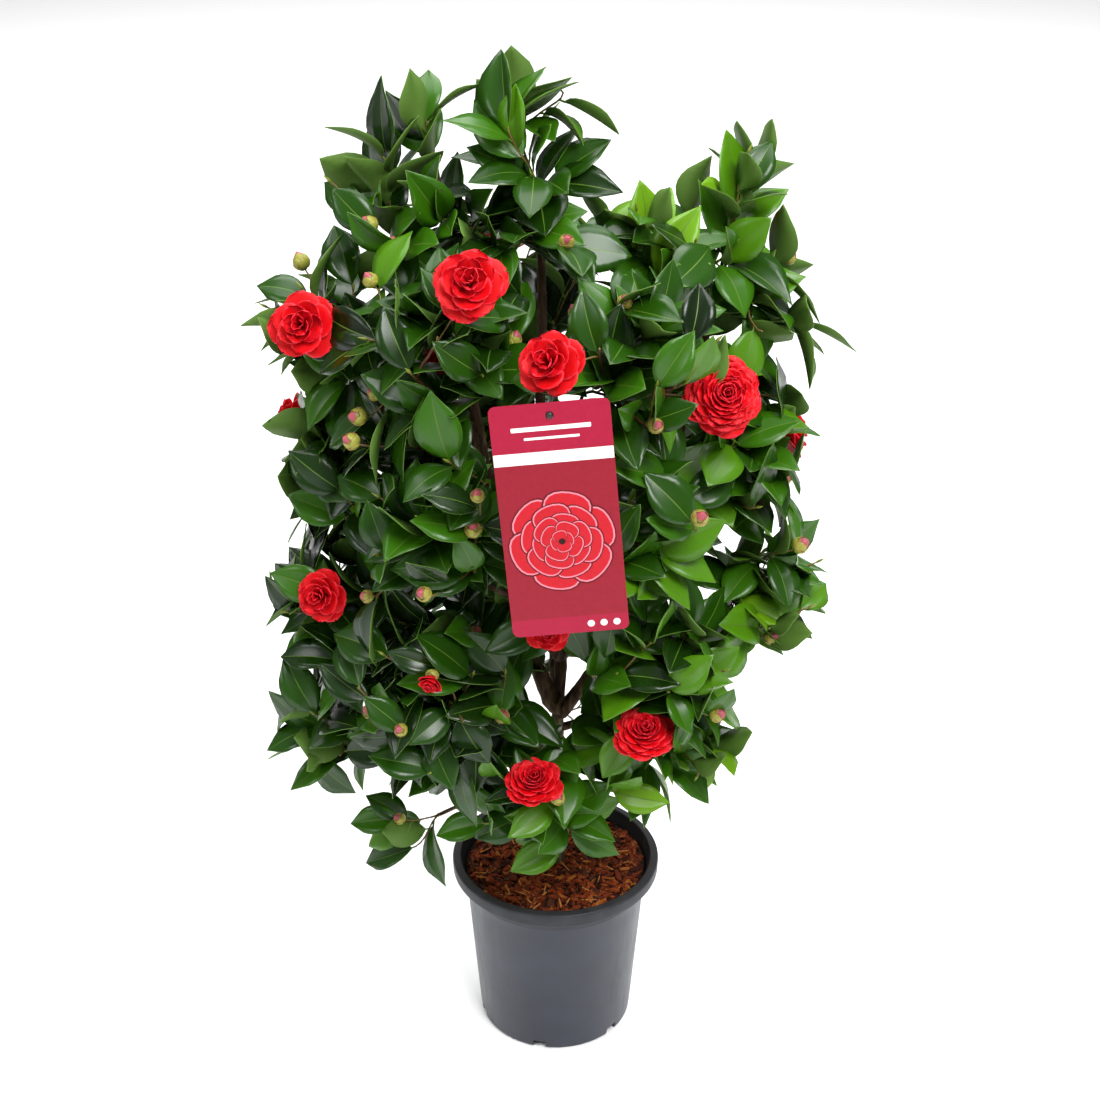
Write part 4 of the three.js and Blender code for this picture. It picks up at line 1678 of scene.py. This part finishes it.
def card_materials():
    """The card's plain inks, each with a faint mottle of print."""
    finishes = []
    inks = (
        ("card_white", "f2efec", "e6e2de"),
        ("card_crimson", "9c1033", "960e30"),
        ("card_rose", "8a1226", "851024"),
        ("card_flower_red", "b81222", "b0101f"),
        ("card_flower_deep", "5e040d", "58040c"),
        ("card_pale_pink", "dc7f8e", "d67686"),
        ("card_dark_red", "2a0205", "250205"),
    )
    for name, code, other in inks:
        made = Pattern(name, 0.38, 0.25)
        mottle = made.noise(220, (1, 1, 1), 3, 0.5)
        made.colour(mottle, [(0.35, other), (0.65, code)])
        finishes.append(made.material)
    return finishes


WHITE, CRIMSON, ROSE, FLOWER, FLOWER_DEEP, PALE, DARK = range(7)

# The card's plain flower, ring by ring: how many petals, their width and their middles' distance from
# the flower's own, both as shares of the flower's radius.
FLOWER_RINGS = (
    (6, 0.84, 0.62),
    (6, 0.68, 0.46),
    (6, 0.52, 0.33),
    (4, 0.42, 0.22),
    (4, 0.26, 0.11),
)


def print_flower(sheet, radius, middle, level, ink):
    """Overlapping petals, each with a pale rim and a dark shadow round it, and a dark heart."""
    for ring, (count, width, distance) in enumerate(FLOWER_RINGS):
        for i in range(count):
            low = level + 3 * ink * (i % 2)
            turn = math.tau * (i + 0.5 * ring) / count + 0.3
            layers = (
                (petal_print(1.08 * width * radius, distance * radius, turn), FLOWER_DEEP),
                (petal_print(width * radius, distance * radius, turn), PALE),
                (petal_print(0.94 * width * radius, (distance - 0.01) * radius, turn), FLOWER),
            )
            for step, (outline, slot) in enumerate(layers):
                add_print(sheet, outline, low + step * ink, low + (step + 1) * ink, slot, (0, middle))
        level += 6 * ink
    add_print(sheet, disc(0.06 * radius), level, level + ink, DARK, (0, middle))


def print_picture(sheet, wide, tall, face, ink):
    """The plain picture: bands, a flower of lobed rings, bars and discs, and no lettering."""
    band = 0.2 * tall
    foot = 0.075 * tall
    strip = 0.05 * tall
    inside = wide - 0.6 * MM
    below = tall / 2 - band
    picture = tall - band - foot - strip
    middle = below - strip - picture / 2
    shapes = [
        (rounded(inside, strip, 0.5 * MM, 2), WHITE, (0, below - strip / 2)),
        (rounded(inside, picture, 0.5 * MM, 2), ROSE, (0, middle)),
    ]
    for i in range(3):
        shapes.append((disc(3.6 * MM), WHITE, (wide / 2 - (12 + 13 * i) * MM, -tall / 2 + foot / 2)))
    for share, height, drop in ((0.66, 4.5, 0.52), (0.46, 2.6, 0.72)):
        bar = rounded(share * wide, height * MM, 1 * MM)
        shapes.append((bar, WHITE, (0, tall / 2 - drop * band)))
    for outline, slot, at in shapes[:2]:
        add_print(sheet, outline, face, face + ink, slot, at)
    print_flower(sheet, 0.475 * wide, middle, face + ink, 0.3 * ink)
    for outline, slot, at in shapes[2:]:
        add_print(sheet, outline, face, face + ink, slot, at)


def build_card():
    """A thin card with a hole for its tie, and the plain picture on its front."""
    wide = 2 * card.half_width
    tall = 2 * card.half_height
    face = 0.1 * MM
    finishes = card_materials()
    blank = Heap()
    add_print(blank, rounded(wide, tall, 7 * MM), -0.45 * MM, face, CRIMSON)
    piece = blank.build("plant_card_sheet", finishes, "card_print")
    hole = Heap()
    at = (0, tall / 2 - 13 * MM)
    add_print(hole, disc(4 * MM), -5 * MM, 5 * MM, 0, at)
    cutter = hole.build("cutter", [])
    cutter.parent = None
    cut(piece, [cutter])
    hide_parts("plant_card")
    sheet = Heap()
    print_picture(sheet, wide, tall, face, 0.07 * MM)
    sheet.build("plant_card_print", finishes, "card_print")
    return card.place(*at)


def build_tie(hole, shoots):
    """A thin strap, knotted before the card's hole, back to the nearest twig and round it."""
    knots = [knot for shoot in shoots for knot in shoot.knots if knot.place.y > hole.y + 14 * MM]
    twig = min(knots, key=lambda knot: (knot.place - hole).length).place
    side = card.right * 3.5 * MM
    between = hole.lerp(twig, 0.5)
    stops = [hole + card.front * 1.5 * MM, hole - card.front * 3 * MM, between + side * 0.5]
    stops += [twig + side, twig - card.front * 4 * MM, twig - side, between - side * 0.5]
    stops += [hole - card.front * 4 * MM]
    places, radii = smooth_run([(stop, 0.8 * MM) for stop in stops], 3 * MM)
    heap = Heap()
    add_tube(heap, places, radii, 8, [0] * (len(places) - 1))
    bead = [hole + card.front * step * MM for step in (-1.5, -0.5, 1, 2.2, 2.8)]
    add_tube(heap, bead, [r * MM for r in (1.6, 3.1, 3.4, 2.6, 0.8)], 16, [0] * 4)
    heap.build("card_tie", [plain("tie_dark", "1b1f1c", 0.45)])


# ---- stage ----


def build_stage():
    """A plain pale floor under soft studio light."""
    mesh = bpy.data.meshes.new("floor")
    size = 40.0
    corners = [(-size, -size, 0), (size, -size, 0), (size, size, 0), (-size, size, 0)]
    mesh.from_pydata(corners, [], [(0, 1, 2, 3)])
    floor = placed("floor", mesh)
    mesh.materials.append(plain("floor_white", "f6f6f6", 0.9))
    world = bpy.data.worlds.new("studio")
    world.use_nodes = True
    world.node_tree.nodes["Background"].inputs["Color"].default_value = (1.0, 1.0, 1.0, 1.0)
    world.node_tree.nodes["Background"].inputs["Strength"].default_value = 0.27
    bpy.context.scene.world = world
    lamp("soft_key", (1.0, -1.7, 3.1), (0, 0, 0.7), 1.7, 125)
    lamp("soft_fill", (-2.5, -1.6, 2.2), (0, 0, 0.7), 1.6, 34)
    lamp("soft_wide", (0, 2.5, 6.0), (0, 1.5, 0), 8.0, 730)


def lamp(name, place, aim, size, power):
    data = bpy.data.lights.new(name, "AREA")
    data.shape = "DISK"
    data.size = size
    data.energy = power
    light = placed(name, data)
    light.location = place
    light.rotation_euler = (Vector(aim) - Vector(place)).to_track_quat("-Z", "Y").to_euler()


def build_camera():
    """Before the plant's front, above its top and looking down at it."""
    data = bpy.data.cameras.new("camera")
    data.lens = 60.25
    data.sensor_width = 36
    data.clip_end = 100
    camera = placed("camera", data)
    camera.location = (-0.007, -1.916, 1.652)
    camera.rotation_euler = (math.radians(90 - 27.1), 0, 0)
    bpy.context.scene.camera = camera
    bpy.context.scene.view_settings.view_transform = "Standard"


def build():
    build_camera()
    build_stage()
    axes, shoots = grow_crown(random.Random(SEED))
    build_leaves(shoots, random.Random(SEED + 1))
    shoots = drop_bare(shoots)
    stalks = build_flowers(shoots, random.Random(SEED + 2))
    build_twigs(shoots, stalks)
    build_limbs(axes)
    build_pot()
    build_soil(random.Random(SEED + 3))
    hole = build_card()
    build_tie(hole, shoots)


build()
